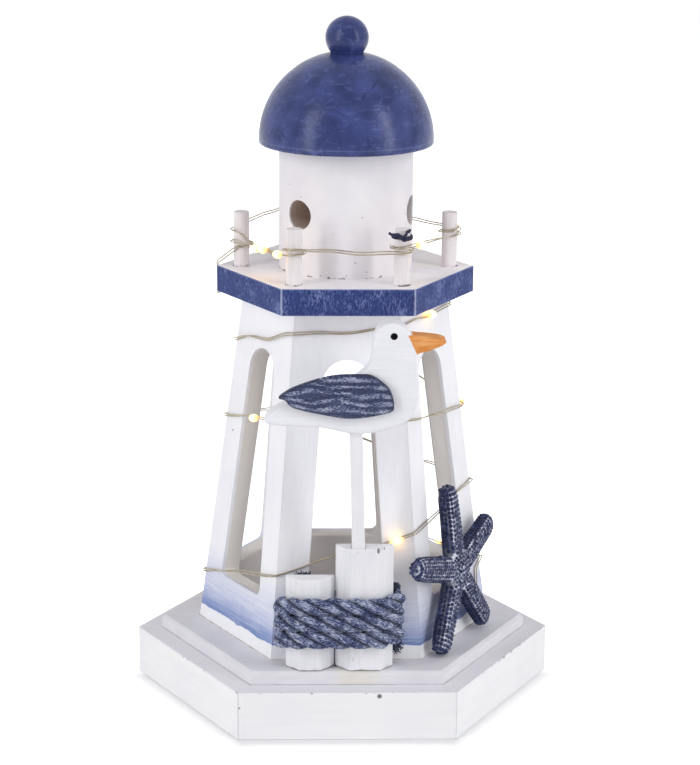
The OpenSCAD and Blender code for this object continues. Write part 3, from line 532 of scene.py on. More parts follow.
def lantern_paint():
    """Chalk paint on the turned lantern room; the portholes show bare wood, and the right one is pale grey
    inside, from thin paint and painted light. Specks of wood show where the foot meets the deck, and a few
    specks of dirt are in the paint."""
    made, tree = material("lantern_chalk_paint_and_bare_wood")
    coords, colour, height = chalk_paint(tree, "#f2eff3", "#ebe8ee", (9, 9, 16))
    speck = add(tree, "ShaderNodeTexVoronoi", {"Vector": coords, "Scale": 1 / (4.4 * MM)})
    speck = add(tree, "ShaderNodeMapRange",
                {"Value": speck, "From Min": 0.045, "From Max": 0.075, "To Min": 0.5, "To Max": 0.0})
    colour = add(tree, "ShaderNodeMix", {0: speck, 6: colour, 7: srgb("#66666e")}, out=2, data_type="RGBA")
    level = add(tree, "ShaderNodeVectorMath", {0: coords, 1: (1, 1, 0)}, operation="MULTIPLY")
    radius = add(tree, "ShaderNodeVectorMath", {0: level}, out=1, operation="LENGTH")
    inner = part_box("lantern_room")[1].x - 0.5 * MM
    bare = add(tree, "ShaderNodeMapRange",
               {"Value": radius, "From Min": inner - 0.25 * MM, "From Max": inner, "To Min": 1.0,
                "To Max": 0.0})
    grain = add(tree, "ShaderNodeMapping", {"Vector": coords, "Scale": pattern_scale(0.5, 0.5, 7)})
    grain = add(tree, "ShaderNodeTexNoise", {"Vector": grain, "Scale": 1.0, "Detail": 3.0})
    wood = add(tree, "ShaderNodeMix", {0: grain, 6: srgb("#ab9a90"), 7: srgb("#dccdc3")},
               out=2, data_type="RGBA")
    x = add(tree, "ShaderNodeSeparateXYZ", {0: coords}, out=0)
    # Thin paint and painted light: the porthole on the right is pale grey inside
    painted = add(tree, "ShaderNodeMath", {0: x, 1: 8 * MM}, operation="GREATER_THAN")
    wood = add(tree, "ShaderNodeMix", {0: painted, 6: wood, 7: srgb("#cfcac8")}, out=2, data_type="RGBA")
    colour = add(tree, "ShaderNodeMix", {0: bare, 6: colour, 7: wood}, out=2, data_type="RGBA")
    z = add(tree, "ShaderNodeSeparateXYZ", {0: coords}, out=2)
    ragged = add(tree, "ShaderNodeTexNoise", {"Vector": coords, "Scale": 1 / (1.3 * MM), "Detail": 3.0})
    foot = add(tree, "ShaderNodeMath", {0: ragged, 1: -4 * MM, 2: z}, operation="MULTIPLY_ADD")
    foot = add(tree, "ShaderNodeMapRange",
               {"Value": foot, "From Min": deck_top - 1.9 * MM, "From Max": deck_top - 1.7 * MM,
                "To Min": 0.7, "To Max": 0.0})
    broken = add(tree, "ShaderNodeTexNoise", {"Vector": coords, "Scale": 1 / (7 * MM), "Detail": 1.0})
    broken = add(tree, "ShaderNodeMapRange", {"Value": broken, "From Min": 0.48, "From Max": 0.56})
    foot = add(tree, "ShaderNodeMath", {0: foot, 1: broken}, operation="MULTIPLY")
    colour = add(tree, "ShaderNodeMix", {0: foot, 6: colour, 7: srgb("#5a5452")}, out=2, data_type="RGBA")
    end_surface(tree, {"Base Color": colour, "Roughness": 0.62}, height, depth=0.05)
    return made


def post_paint():
    """Thin chalk paint on dowel: the end grain and the glue at the foot show a little."""
    made, tree = material("dowel_chalk_paint")
    coords, colour, height = chalk_paint(tree, "#f2eced", "#e6dfe1", (0.5, 0.5, 9))
    z = add(tree, "ShaderNodeSeparateXYZ", {0: coords}, out=2)
    foot = add(tree, "ShaderNodeMapRange",
               {"Value": z, "From Min": deck_top + 0.1 * MM, "From Max": deck_top + 0.7 * MM, "To Min": 1.0,
                "To Max": 0.0})
    ragged = add(tree, "ShaderNodeTexNoise", {"Vector": coords, "Scale": 1 / (1.6 * MM), "Detail": 2.0})
    ragged = add(tree, "ShaderNodeMapRange", {"Value": ragged, "From Min": 0.48, "From Max": 0.58})
    glue = add(tree, "ShaderNodeMath", {0: foot, 1: ragged}, operation="MULTIPLY")
    colour = add(tree, "ShaderNodeMix", {0: glue, 6: colour, 7: srgb("#57504d")}, out=2, data_type="RGBA")
    end_surface(tree, {"Base Color": colour, "Roughness": 0.6}, height, depth=0.05)
    return made


# A nick's place on the tall mooring post and its half sizes, in millimetres
MOORING_NICKS = [((9.4, -51.6, 59.3), (0.5, 2, 0.9)), ((11.3, -51.2, 59.7), (0.32, 2, 0.6))]


def mooring_paint():
    """Thick chalk paint on split wood: a few fine cracks along the grain, two nicks and glue at the foot."""
    made, tree = material("mooring_chalk_paint")
    coords, colour, height = chalk_paint(tree, "#f3f3f7", "#eaeaf0", (0.9, 0.9, 16))
    lines = add(tree, "ShaderNodeMapping", {"Vector": coords, "Scale": pattern_scale(2.6, 2.6, 22)})
    ridge = add(tree, "ShaderNodeTexNoise",
                {"Vector": lines, "Scale": 1.0, "Detail": 3.0, "Roughness": 0.6})
    crack = add(tree, "ShaderNodeMath", {0: ridge, 1: 0.5}, operation="SUBTRACT")
    crack = add(tree, "ShaderNodeMath", {0: crack}, operation="ABSOLUTE")
    crack = add(tree, "ShaderNodeMapRange",
                {"Value": crack, "From Min": 0.003, "From Max": 0.014, "To Min": 0.4, "To Max": 0.0})
    broken = add(tree, "ShaderNodeTexNoise", {"Vector": coords, "Scale": 1 / (9 * MM), "Detail": 1.0})
    broken = add(tree, "ShaderNodeMapRange", {"Value": broken, "From Min": 0.55, "From Max": 0.66})
    crack = add(tree, "ShaderNodeMath", {0: crack, 1: broken}, operation="MULTIPLY")
    for spot, size in MOORING_NICKS:
        spot = tuple(c * MM for c in spot)
        away = add(tree, "ShaderNodeVectorMath", {0: coords, 1: spot}, operation="SUBTRACT")
        away = add(tree, "ShaderNodeVectorMath", {0: away, 1: pattern_scale(*size)}, operation="MULTIPLY")
        away = add(tree, "ShaderNodeVectorMath", {0: away}, out=1, operation="LENGTH")
        nick = add(tree, "ShaderNodeMapRange",
                   {"Value": away, "From Min": 0.7, "From Max": 1.0, "To Min": 0.9, "To Max": 0.0})
        crack = add(tree, "ShaderNodeMath", {0: crack, 1: nick}, operation="MAXIMUM")
    z = add(tree, "ShaderNodeSeparateXYZ", {0: coords}, out=2)
    ragged = add(tree, "ShaderNodeTexNoise", {"Vector": coords, "Scale": 1 / (2.5 * MM), "Detail": 2.0})
    foot = add(tree, "ShaderNodeMath", {0: ragged, 1: -1.3 * MM, 2: z}, operation="MULTIPLY_ADD")
    foot = add(tree, "ShaderNodeMapRange",
               {"Value": foot, "From Min": step_top - 0.4 * MM, "From Max": step_top - 0.1 * MM,
                "To Min": 0.75, "To Max": 0.0})
    crack = add(tree, "ShaderNodeMath", {0: crack, 1: foot}, operation="MAXIMUM")
    colour = add(tree, "ShaderNodeMix", {0: crack, 6: colour, 7: srgb("#6f6a60")}, out=2, data_type="RGBA")
    height = add(tree, "ShaderNodeMath", {0: crack, 1: -2.0, 2: height}, operation="MULTIPLY_ADD")
    end_surface(tree, {"Base Color": colour, "Roughness": 0.6}, height, depth=0.06)
    return made


# Painted shade of a dent: its place in millimetres to the right and above the rim, its turn, and half its
# length
DOME_DENTS = [(8.4, 21.2, 0.75, 3.0), (4.4, 17.4, 0.5, 2.4), (-2, 12.8, 2.05, 4.4)]


def dome_paint():
    """Glossy navy enamel over turned wood: cloudy, with smears and pale strokes of the brush, three dents
    in front painted as dark shade, and a thin line left by the brush just above the rim."""
    made, tree = material("navy_gloss_enamel")
    coords = add(tree, "ShaderNodeTexCoord", out=3)
    cloud = add(tree, "ShaderNodeTexNoise", {"Vector": coords, "Scale": 1 / (8 * MM), "Detail": 4.0})
    tint = add(tree, "ShaderNodeMapRange", {"Value": cloud, "From Min": 0.36, "From Max": 0.64})
    colour = add(tree, "ShaderNodeMix", {0: tint, 6: srgb("#2b3667"), 7: srgb("#424d86")},
                 out=2, data_type="RGBA")
    smear = add(tree, "ShaderNodeTexNoise",
                {"Vector": coords, "Scale": 1 / (5 * MM), "Detail": 5.0, "Roughness": 0.62,
                 "Distortion": 1.4})
    pale = add(tree, "ShaderNodeMapRange",
               {"Value": smear, "From Min": 0.56, "From Max": 0.72, "To Max": 0.6})
    colour = add(tree, "ShaderNodeMix", {0: pale, 6: colour, 7: srgb("#5b68a2")}, out=2, data_type="RGBA")
    level = add(tree, "ShaderNodeMapping",
                {"Vector": coords, "Rotation": (0.2, 0.3, 0), "Scale": pattern_scale(4, 4, 0.6)})
    stroke = add(tree, "ShaderNodeTexNoise",
                 {"Vector": level, "Scale": 1.0, "Detail": 3.0, "Distortion": 0.6})
    stroke = add(tree, "ShaderNodeMapRange",
                 {"Value": stroke, "From Min": 0.6, "From Max": 0.76, "To Max": 0.45})
    colour = add(tree, "ShaderNodeMix", {0: stroke, 6: colour, 7: srgb("#7884b8")}, out=2, data_type="RGBA")
    dome_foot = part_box("dome_roof")[0].z
    # Painted shade: each dent is a darker navy patch in the colour
    for x, rise, turn, reach in DOME_DENTS:
        spot = (x * MM, -20 * MM, dome_foot + rise * MM)
        away = add(tree, "ShaderNodeMapping",
                   {"Vector": coords, "Location": spot, "Rotation": (0, turn, 0),
                    "Scale": (0.3 * MM, 12 * MM, reach * MM)}, vector_type="TEXTURE")
        away = add(tree, "ShaderNodeVectorMath", {0: away}, out=1, operation="LENGTH")
        dent = add(tree, "ShaderNodeMapRange",
                   {"Value": away, "From Min": 0.4, "From Max": 1.0, "To Min": 0.9, "To Max": 0.0})
        colour = add(tree, "ShaderNodeMix", {0: dent, 6: colour, 7: srgb("#1d2755")},
                     out=2, data_type="RGBA")
    z = add(tree, "ShaderNodeSeparateXYZ", {0: coords}, out=2)
    wavy = add(tree, "ShaderNodeMath", {0: smear, 1: 0.8 * MM, 2: z}, operation="MULTIPLY_ADD")
    line = add(tree, "ShaderNodeMath", {0: wavy, 1: dome_foot + 2.2 * MM}, operation="SUBTRACT")
    line = add(tree, "ShaderNodeMath", {0: line}, operation="ABSOLUTE")
    line = add(tree, "ShaderNodeMapRange",
               {"Value": line, "From Min": 0.05 * MM, "From Max": 0.3 * MM, "To Min": 0.45, "To Max": 0.0})
    line = add(tree, "ShaderNodeMath", {0: line, 1: cloud}, operation="MULTIPLY")
    colour = add(tree, "ShaderNodeMix", {0: line, 6: colour, 7: srgb("#8a95c4")}, out=2, data_type="RGBA")
    gloss = add(tree, "ShaderNodeMapRange",
                {"Value": smear, "From Min": 0.3, "From Max": 0.7, "To Min": 0.17, "To Max": 0.33})
    end_surface(tree, {"Base Color": colour, "Roughness": gloss, "Specular IOR Level": 0.23},
                smear, depth=0.15)
    return made


def deck_edge_paint(name, pale_from):
    """Navy paint on the deck's sawn edge, scratched back in places so that pale flecks show."""
    made, tree = material(name)
    coords = add(tree, "ShaderNodeTexCoord", out=3)
    upright = add(tree, "ShaderNodeMapping", {"Vector": coords, "Scale": pattern_scale(0.5, 0.5, 1.3)})
    fleck = add(tree, "ShaderNodeTexNoise",
                {"Vector": upright, "Scale": 1.0, "Detail": 4.0, "Roughness": 0.7})
    cloud = add(tree, "ShaderNodeTexNoise", {"Vector": coords, "Scale": 1 / (6 * MM), "Detail": 3.0})
    pale = add(tree, "ShaderNodeMath", {0: cloud, 1: 0.7, 2: fleck}, operation="MULTIPLY_ADD")
    pale = add(tree, "ShaderNodeMapRange",
               {"Value": pale, "From Min": pale_from - 0.1, "From Max": pale_from + 0.14, "To Max": 0.75})
    tint = add(tree, "ShaderNodeMapRange", {"Value": fleck, "From Min": 0.35, "From Max": 0.65})
    tint = add(tree, "ShaderNodeMix", {0: tint, 6: srgb("#2c386d"), 7: srgb("#48568c")},
               out=2, data_type="RGBA")
    colour = add(tree, "ShaderNodeMix", {0: pale, 6: tint, 7: srgb("#8794c8")}, out=2, data_type="RGBA")
    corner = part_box("gallery_deck")[1].x
    turned = add(tree, "ShaderNodeMapping", {"Vector": coords, "Rotation": (0, 0, HALF_SIDE)})
    rubbed = add(tree, "ShaderNodeMapRange",
                 {"Value": hexagon_reach(tree, turned), "From Min": corner - 0.26 * MM,
                  "From Max": corner - 0.14 * MM, "To Max": 0.9})
    rubbed = add(tree, "ShaderNodeMath", {0: rubbed, 1: fleck}, operation="MULTIPLY")
    colour = add(tree, "ShaderNodeMix", {0: rubbed, 6: colour, 7: srgb("#c9cfe6")}, out=2, data_type="RGBA")
    end_surface(tree, {"Base Color": colour, "Roughness": 0.5, "Specular IOR Level": 0.07},
                fleck, depth=0.08)
    return made


def gull_paint(name, shine, eye, beak_low, beak_high):
    """Chalk paint brushed along the gull, an orange beak and a matt black eye, all painted on the board."""
    made, tree = material(name)
    coords, colour, height = chalk_paint(tree, "#f6f6fb", "#ededf5", (14, 2, 0.7))
    x, _, z = add(tree, "ShaderNodeSeparateXYZ", {0: coords}, out=None)
    slope = (beak_high[0] - beak_low[0]) / (beak_high[1] - beak_low[1])
    border = add(tree, "ShaderNodeMath", {0: z, 1: slope, 2: beak_low[0] - slope * beak_low[1]},
                 operation="MULTIPLY_ADD")
    ragged = add(tree, "ShaderNodeTexNoise", {"Vector": coords, "Scale": 1 / (2.2 * MM), "Detail": 2.0})
    border = add(tree, "ShaderNodeMath", {0: ragged, 1: 0.7 * MM, 2: border}, operation="MULTIPLY_ADD")
    past = add(tree, "ShaderNodeMath", {0: x, 1: border}, operation="SUBTRACT")
    beak = add(tree, "ShaderNodeMapRange", {"Value": past, "From Min": 0.0, "From Max": 0.25 * MM})
    under = add(tree, "ShaderNodeMath", {0: z, 1: beak_high[1]}, operation="LESS_THAN")
    beak = add(tree, "ShaderNodeMath", {0: beak, 1: under}, operation="MULTIPLY")
    strokes = add(tree, "ShaderNodeMapping", {"Vector": coords, "Scale": pattern_scale(5, 2, 0.8)})
    streak = add(tree, "ShaderNodeTexNoise", {"Vector": strokes, "Scale": 1.0, "Detail": 2.0})
    streak = add(tree, "ShaderNodeMapRange", {"Value": streak, "From Min": 0.35, "From Max": 0.68})
    orange = add(tree, "ShaderNodeMix", {0: streak, 6: srgb("#db873d"), 7: srgb("#ecad6b")},
                 out=2, data_type="RGBA")
    colour = add(tree, "ShaderNodeMix", {0: beak, 6: colour, 7: orange}, out=2, data_type="RGBA")
    flat = add(tree, "ShaderNodeVectorMath", {0: coords, 1: (1, 0, 1)}, operation="MULTIPLY")
    away = add(tree, "ShaderNodeVectorMath", {0: flat, 1: (eye[0], 0, eye[1])}, out=1, operation="DISTANCE")
    dot = add(tree, "ShaderNodeMapRange",
              {"Value": away, "From Min": 1.0 * MM, "From Max": 1.2 * MM, "To Min": 1.0, "To Max": 0.0})
    colour = add(tree, "ShaderNodeMix", {0: dot, 6: colour, 7: srgb("#0c0c0f")}, out=2, data_type="RGBA")
    end_surface(tree, {"Base Color": colour, "Roughness": 0.55, "Specular IOR Level": shine},
                height, depth=0.07)
    return made


def wing_paint():
    """Slate-blue paint in the wing's carved grooves, with white dry-brushed along their ridges and kept off
    the wing's rounded edge, where the paint is also darker as painted shade."""
    made, tree = material("wing_slate_paint_dry_brushed")
    coords = add(tree, "ShaderNodeTexCoord", out=3)
    ridge = add(tree, "ShaderNodeAttribute", out=2, attribute_name="ridge")
    strokes = add(tree, "ShaderNodeMapping", {"Vector": coords, "Scale": pattern_scale(0.9, 3, 0.32)})
    streak = add(tree, "ShaderNodeTexNoise",
                 {"Vector": strokes, "Scale": 1.0, "Detail": 4.0, "Roughness": 0.66})
    patch = add(tree, "ShaderNodeTexNoise", {"Vector": coords, "Scale": 1 / (6 * MM), "Detail": 1.0})
    white = add(tree, "ShaderNodeMath", {0: ridge, 1: 0.36, 2: streak}, operation="MULTIPLY_ADD")
    white = add(tree, "ShaderNodeMath", {0: patch, 1: 0.35, 2: white}, operation="MULTIPLY_ADD")
    white = add(tree, "ShaderNodeMapRange",
                {"Value": white, "From Min": 0.88, "From Max": 1.08, "To Max": 0.75})
    rim = add(tree, "ShaderNodeAttribute", out=2, attribute_name="rim")
    rim = add(tree, "ShaderNodeMapRange", {"Value": rim, "From Min": 0.2 * MM, "From Max": 1.0 * MM})
    white = add(tree, "ShaderNodeMath", {0: white, 1: rim}, operation="MULTIPLY")
    tint = add(tree, "ShaderNodeMath", {0: ridge, 1: 0.22, 2: streak}, operation="MULTIPLY_ADD")
    tint = add(tree, "ShaderNodeMapRange", {"Value": tint, "From Min": 0.48, "From Max": 0.78})
    tint = add(tree, "ShaderNodeMix", {0: tint, 6: srgb("#121a36"), 7: srgb("#455280")},
               out=2, data_type="RGBA")
    # Painted shade: the paint darkens to near black towards the wing's rounded edge
    tint = add(tree, "ShaderNodeMix", {0: rim, 6: srgb("#161e3c"), 7: tint}, out=2, data_type="RGBA")
    colour = add(tree, "ShaderNodeMix", {0: white, 6: tint, 7: srgb("#c2c9de")}, out=2, data_type="RGBA")
    end_surface(tree, {"Base Color": colour, "Roughness": 0.5, "Specular IOR Level": 0.4},
                streak, depth=0.16)
    return made


def rope_yarn():
    """Soft-laid cotton yarn, dyed navy and heathered: dark and pale fibres run along each strand, and the
    grooves between strands are painted darker as shade.
    """
    made, tree = material("heather_cotton_yarn")
    along = add(tree, "ShaderNodeAttribute", out=2, attribute_name="along")
    around = add(tree, "ShaderNodeAttribute", out=2, attribute_name="around")
    strand = add(tree, "ShaderNodeAttribute", out=2, attribute_name="strand")
    turn = add(tree, "ShaderNodeMath", {0: around, 1: 2 * math.pi}, operation="MULTIPLY")
    cosine = add(tree, "ShaderNodeMath", {0: turn}, operation="COSINE")
    sine = add(tree, "ShaderNodeMath", {0: turn}, operation="SINE")
    length = add(tree, "ShaderNodeMath", {0: strand, 1: 0.37, 2: along}, operation="MULTIPLY_ADD")
    wrapped = add(tree, "ShaderNodeCombineXYZ", {0: cosine, 1: sine, 2: length})
    fibres = add(tree, "ShaderNodeMapping", {"Vector": wrapped, "Scale": (4.6, 4.6, 1 / (0.95 * MM))})
    fibre = add(tree, "ShaderNodeTexNoise",
                {"Vector": fibres, "Scale": 1.0, "Detail": 4.0, "Roughness": 0.75})
    coords = add(tree, "ShaderNodeTexCoord", out=3)
    dyed = add(tree, "ShaderNodeTexNoise", {"Vector": coords, "Scale": 1 / (4 * MM), "Detail": 1.0})
    dyed = add(tree, "ShaderNodeMath", {0: dyed, 1: 0.5}, operation="SUBTRACT")
    fibre = add(tree, "ShaderNodeMath", {0: dyed, 1: 0.3, 2: fibre}, operation="MULTIPLY_ADD")
    dark = add(tree, "ShaderNodeMapRange", {"Value": fibre, "From Min": 0.4, "From Max": 0.5})
    pale = add(tree, "ShaderNodeMapRange", {"Value": fibre, "From Min": 0.51, "From Max": 0.61})
    colour = add(tree, "ShaderNodeMix", {0: dark, 6: srgb("#1c2549"), 7: srgb("#52608f")},
                 out=2, data_type="RGBA")
    colour = add(tree, "ShaderNodeMix", {0: pale, 6: colour, 7: srgb("#d0d7ea")}, out=2, data_type="RGBA")
    crown = add(tree, "ShaderNodeAttribute", out=2, attribute_name="crown")
    # Painted shade: near black in the grooves between strands, fading out towards their crowns
    groove = add(tree, "ShaderNodeMapRange",
                 {"Value": crown, "From Min": 0.15, "From Max": 0.9, "To Min": 0.92, "To Max": 0.0})
    colour = add(tree, "ShaderNodeMix", {0: groove, 6: colour, 7: srgb("#1a2140")}, out=2, data_type="RGBA")
    end_surface(tree, {"Base Color": colour, "Roughness": 0.9, "Sheen Weight": 0.1}, fibre, depth=0.25)
    return made


def loose_fibre():
    """Single cotton fibres: some dyed, some nearly white."""
    made, tree = material("cotton_fibre")
    tone = add(tree, "ShaderNodeAttribute", out=2, attribute_name="tone")
    colour = add(tree, "ShaderNodeValToRGB", {0: tone})
    dyes = colour.node.color_ramp.elements
    dyes[0].color = srgb("#232b4c")
    dyes[1].color = srgb("#d3d9ea")
    dyes.new(0.6).color = srgb("#65709a")
    end_surface(tree, {"Base Color": colour, "Roughness": 0.9})
    return made


def star_ground():
    """Cast resin between the starfish's beads: navy, with white paint left in the grooves of its face."""
    made, tree = material("starfish_resin_white_wash")
    coords = add(tree, "ShaderNodeTexCoord", out=3)
    front = add(tree, "ShaderNodeAttribute", out=2, attribute_name="front")
    cloud = add(tree, "ShaderNodeTexNoise", {"Vector": coords, "Scale": 1 / (2.5 * MM), "Detail": 3.0})
    wash = add(tree, "ShaderNodeMapRange", {"Value": cloud, "From Min": 0.36, "From Max": 0.56})
    wash = add(tree, "ShaderNodeMath", {0: wash, 1: front}, operation="MULTIPLY")
    colour = add(tree, "ShaderNodeMix", {0: wash, 6: srgb("#17204b"), 7: srgb("#e6ebf9")},
                 out=2, data_type="RGBA")
    end_surface(tree, {"Base Color": colour, "Roughness": 0.6}, cloud, depth=0.1)
    return made


def star_bead():
    """Cast resin beads: satin navy, a few of them brushed grey, with white paint left low between them."""
    made, tree = material("starfish_resin_beads")
    coords = add(tree, "ShaderNodeTexCoord", out=3)
    tone = add(tree, "ShaderNodeAttribute", out=2, attribute_name="tone")
    grain = add(tree, "ShaderNodeTexNoise", {"Vector": coords, "Scale": 1 / (0.8 * MM), "Detail": 2.0})
    pale = add(tree, "ShaderNodeMath", {0: tone, 1: grain}, operation="MULTIPLY")
    pale = add(tree, "ShaderNodeMapRange",
               {"Value": pale, "From Min": 0.32, "From Max": 0.64, "To Max": 0.5})
    colour = add(tree, "ShaderNodeMix", {0: pale, 6: srgb("#17204b"), 7: srgb("#7480b4")},
                 out=2, data_type="RGBA")
    rise = add(tree, "ShaderNodeAttribute", out=2, attribute_name="rise")
    front = add(tree, "ShaderNodeAttribute", out=2, attribute_name="front")
    depth = add(tree, "ShaderNodeMath", {0: front, 1: 0.28 * MM, 2: 0.12 * MM}, operation="MULTIPLY_ADD")
    low = add(tree, "ShaderNodeMapRange",
              {"Value": rise, "From Min": 0.1 * MM, "From Max": depth, "To Min": 1.0, "To Max": 0.0})
    worn = add(tree, "ShaderNodeTexNoise", {"Vector": coords, "Scale": 1 / (1.7 * MM), "Detail": 3.0})
    worn = add(tree, "ShaderNodeMapRange", {"Value": worn, "From Min": 0.4, "From Max": 0.58})
    low = add(tree, "ShaderNodeMath", {0: low, 1: front}, operation="MULTIPLY")
    low = add(tree, "ShaderNodeMath", {0: low, 1: worn}, operation="MULTIPLY")
    colour = add(tree, "ShaderNodeMix", {0: low, 6: colour, 7: srgb("#e6ebf9")}, out=2, data_type="RGBA")
    end_surface(tree, {"Base Color": colour, "Roughness": 0.42, "Specular IOR Level": 0.3},
                grain, depth=0.05)
    return made


def wire_metal():
    """Champagne enamelled copper wire: thin clear enamel over a drawn metal."""
    made, tree = material("champagne_enamelled_wire")
    along = add(tree, "ShaderNodeAttribute", out=2, attribute_name="along")
    patch = add(tree, "ShaderNodeTexNoise", {"W": along, "Scale": 1 / (5 * MM), "Detail": 2.0},
                noise_dimensions="1D")
    colour = add(tree, "ShaderNodeMix", {0: patch, 6: srgb("#7d7159"), 7: srgb("#cbc1a9")},
                 out=2, data_type="RGBA")
    end_surface(tree, {"Base Color": colour, "Metallic": 0.75, "Roughness": 0.34})
    return made


def led_resin():
    """Clear resin drop lit by the chip inside: warm white, brightest in the middle of the drop."""
    made, tree = material("warm_led_resin")
    core = add(tree, "ShaderNodeAttribute", out=2, attribute_name="core")
    glow = add(tree, "ShaderNodeMapRange",
               {"Value": core, "From Min": 0.5, "From Max": 1.0, "To Min": 0.6, "To Max": 5.0})
    end_surface(tree, {"Base Color": srgb("#f4e3b0"), "Roughness": 0.2, "Emission Color": srgb("#ffc668"),
                       "Emission Strength": glow})
    return made


def thread_cotton():
    """Twisted cotton thread, nearly black navy."""
    made, tree = material("navy_cotton_thread")
    along = add(tree, "ShaderNodeAttribute", out=2, attribute_name="along")
    around = add(tree, "ShaderNodeAttribute", out=2, attribute_name="around")
    lay = add(tree, "ShaderNodeMath", {0: along, 1: 1 / (1.1 * MM), 2: around}, operation="MULTIPLY_ADD")
    lay = add(tree, "ShaderNodeMath", {0: lay, 1: 2 * math.pi}, operation="MULTIPLY")
    lay = add(tree, "ShaderNodeMath", {0: lay}, operation="SINE")
    tint = add(tree, "ShaderNodeMapRange", {"Value": lay, "From Min": -1.0, "From Max": 1.0})
    colour = add(tree, "ShaderNodeMix", {0: tint, 6: srgb("#17172c"), 7: srgb("#33345a")},
                 out=2, data_type="RGBA")
    end_surface(tree, {"Base Color": colour, "Roughness": 0.85}, lay, depth=0.1)
    return made


def moulded_plastic(name, code, roughness):
    """Injection-moulded plastic with a fine spark-eroded texture, coarser than the real 0.1 mm grit so that
    it shows."""
    made, tree = material(name)
    coords = add(tree, "ShaderNodeTexCoord", out=3)
    grit = add(tree, "ShaderNodeTexNoise", {"Vector": coords, "Scale": 1 / (0.35 * MM), "Detail": 2.0})
    shade = add(tree, "ShaderNodeMapRange",
                {"Value": grit, "From Min": 0.3, "From Max": 0.7, "To Min": roughness,
                 "To Max": roughness + 0.12})
    end_surface(tree, {"Base Color": srgb(code), "Roughness": shade}, grit, depth=0.03)
    return made


def cell_jacket():
    """Printed film shrunk round a dry cell: a plain colour with a metallic band at one end."""
    made, tree = material("dry_cell_film")
    coords = add(tree, "ShaderNodeTexCoord", out=3)
    x = add(tree, "ShaderNodeSeparateXYZ", {0: coords}, out=0)
    band = add(tree, "ShaderNodeMapRange", {"Value": x, "From Min": 16.0 * MM, "From Max": 16.2 * MM})
    colour = add(tree, "ShaderNodeMix", {0: band, 6: srgb("#48694c"), 7: srgb("#c8a65a")},
                 out=2, data_type="RGBA")
    rub = add(tree, "ShaderNodeTexNoise", {"Vector": coords, "Scale": 1 / (1.5 * MM), "Detail": 4.0})
    shade = add(tree, "ShaderNodeMapRange",
                {"Value": rub, "From Min": 0.3, "From Max": 0.7, "To Min": 0.22, "To Max": 0.4})
    end_surface(tree, {"Base Color": colour, "Roughness": shade, "Metallic": 0.3})
    return made


def plated_steel():
    """Nickel-plated pressed steel: bright, with fine rolling lines, made as coarse as they need to show."""
    made, tree = material("nickel_plated_steel")
    coords = add(tree, "ShaderNodeTexCoord", out=3)
    lines = add(tree, "ShaderNodeMapping", {"Vector": coords, "Scale": pattern_scale(6, 0.3, 6)})
    lines = add(tree, "ShaderNodeTexNoise", {"Vector": lines, "Scale": 1.0, "Detail": 2.0})
    shade = add(tree, "ShaderNodeMapRange", {"Value": lines, "To Min": 0.2, "To Max": 0.4})
    end_surface(tree, {"Base Color": srgb("#c9cac8"), "Metallic": 1.0, "Roughness": shade})
    return made


# Flat and turned wooden pieces: copies of the solids with sanded edges

# Angles in degrees: how near a mitre a point counts as on it, and what counts as one flat, a sharp edge
# and an edge that stays sharp in the shading
MITRE_SLACK = 0.7
ONE_FLAT = 0.5
SHARP_EDGE = 40
SHARP_SHADING = 32
# Points of a solid nearer than this are one
SAME_POINT = 0.005 * MM


def near_mitre(point):
    """Whether a point lies on an upright plane through the axis and a corner of the hexagon, or nearly so."""
    turn = math.degrees(math.atan2(point.y, point.x)) % 60
    return min(turn, 60 - turn) < MITRE_SLACK


def sanded(node, edge, paints, segments=2, edge_paint=0, joined=False, merged=True):
    """A copy of a solid with its sharp edges rounded by edge millimetres; edge_paint is their paint's slot.
    joined leaves the mitred edges sharp, so that neighbours meet without a groove, and merged makes the
    triangles of each flat one face."""
    mesh = bpy.data.meshes.new(node + "_wood")
    shape = bmesh.new()
    shape.from_mesh(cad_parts[node].data)
    bmesh.ops.remove_doubles(shape, verts=shape.verts, dist=SAME_POINT)
    if merged:
        bmesh.ops.dissolve_limit(shape, angle_limit=math.radians(ONE_FLAT), verts=shape.verts,
                                 edges=shape.edges)
    weight = shape.edges.layers.float.new("bevel_weight_edge")
    for side in shape.edges:
        sharp = side.is_manifold and side.calc_face_angle() > math.radians(SHARP_EDGE)
        kept = joined and all(near_mitre(v.co) for v in side.verts)
        side[weight] = 1.0 if sharp and not kept else 0.0
    shape.to_mesh(mesh)
    shape.free()
    piece = new_object(node + "_wood", mesh)
    for paint in paints:
        mesh.materials.append(paint)
    mesh.polygons.foreach_set("material_index", [0] * len(mesh.polygons))
    round_edges = piece.modifiers.new("sanded", "BEVEL")
    round_edges.width = edge * MM
    round_edges.segments = segments
    round_edges.limit_method = "WEIGHT"
    round_edges.material = edge_paint
    bake(piece)
    piece.data.shade_smooth()
    piece.data.set_sharp_from_angle(angle=math.radians(SHARP_SHADING))
    flat = piece.modifiers.new("flat_faces", "WEIGHTED_NORMAL")
    flat.keep_sharp = True
    return bake(piece)


def place_sanded(node, edge, paint, slot="white_paint", **cut):
    """A solid's sanded copy in one paint stands for the solid."""
    place(sanded(node, edge, [paint], **cut), slot, node)


base_white = base_paint()
step_white = step_paint()
tower_white = tower_paint()
lantern_white = lantern_paint()
post_white = post_paint()
mooring_white = mooring_paint()
deck_white = white_paint("deck_chalk_paint", "#fbf8fb", "#f4f0f5", (7, 7, 7))
leg_white = white_paint("leg_chalk_paint", "#f6f5f8", "#edecf1", (0.5, 0.5, 14))
navy = dome_paint()
deck_navy = deck_edge_paint("deck_navy_paint", 0.97)
deck_worn = deck_edge_paint("deck_navy_paint_worn", 0.72)

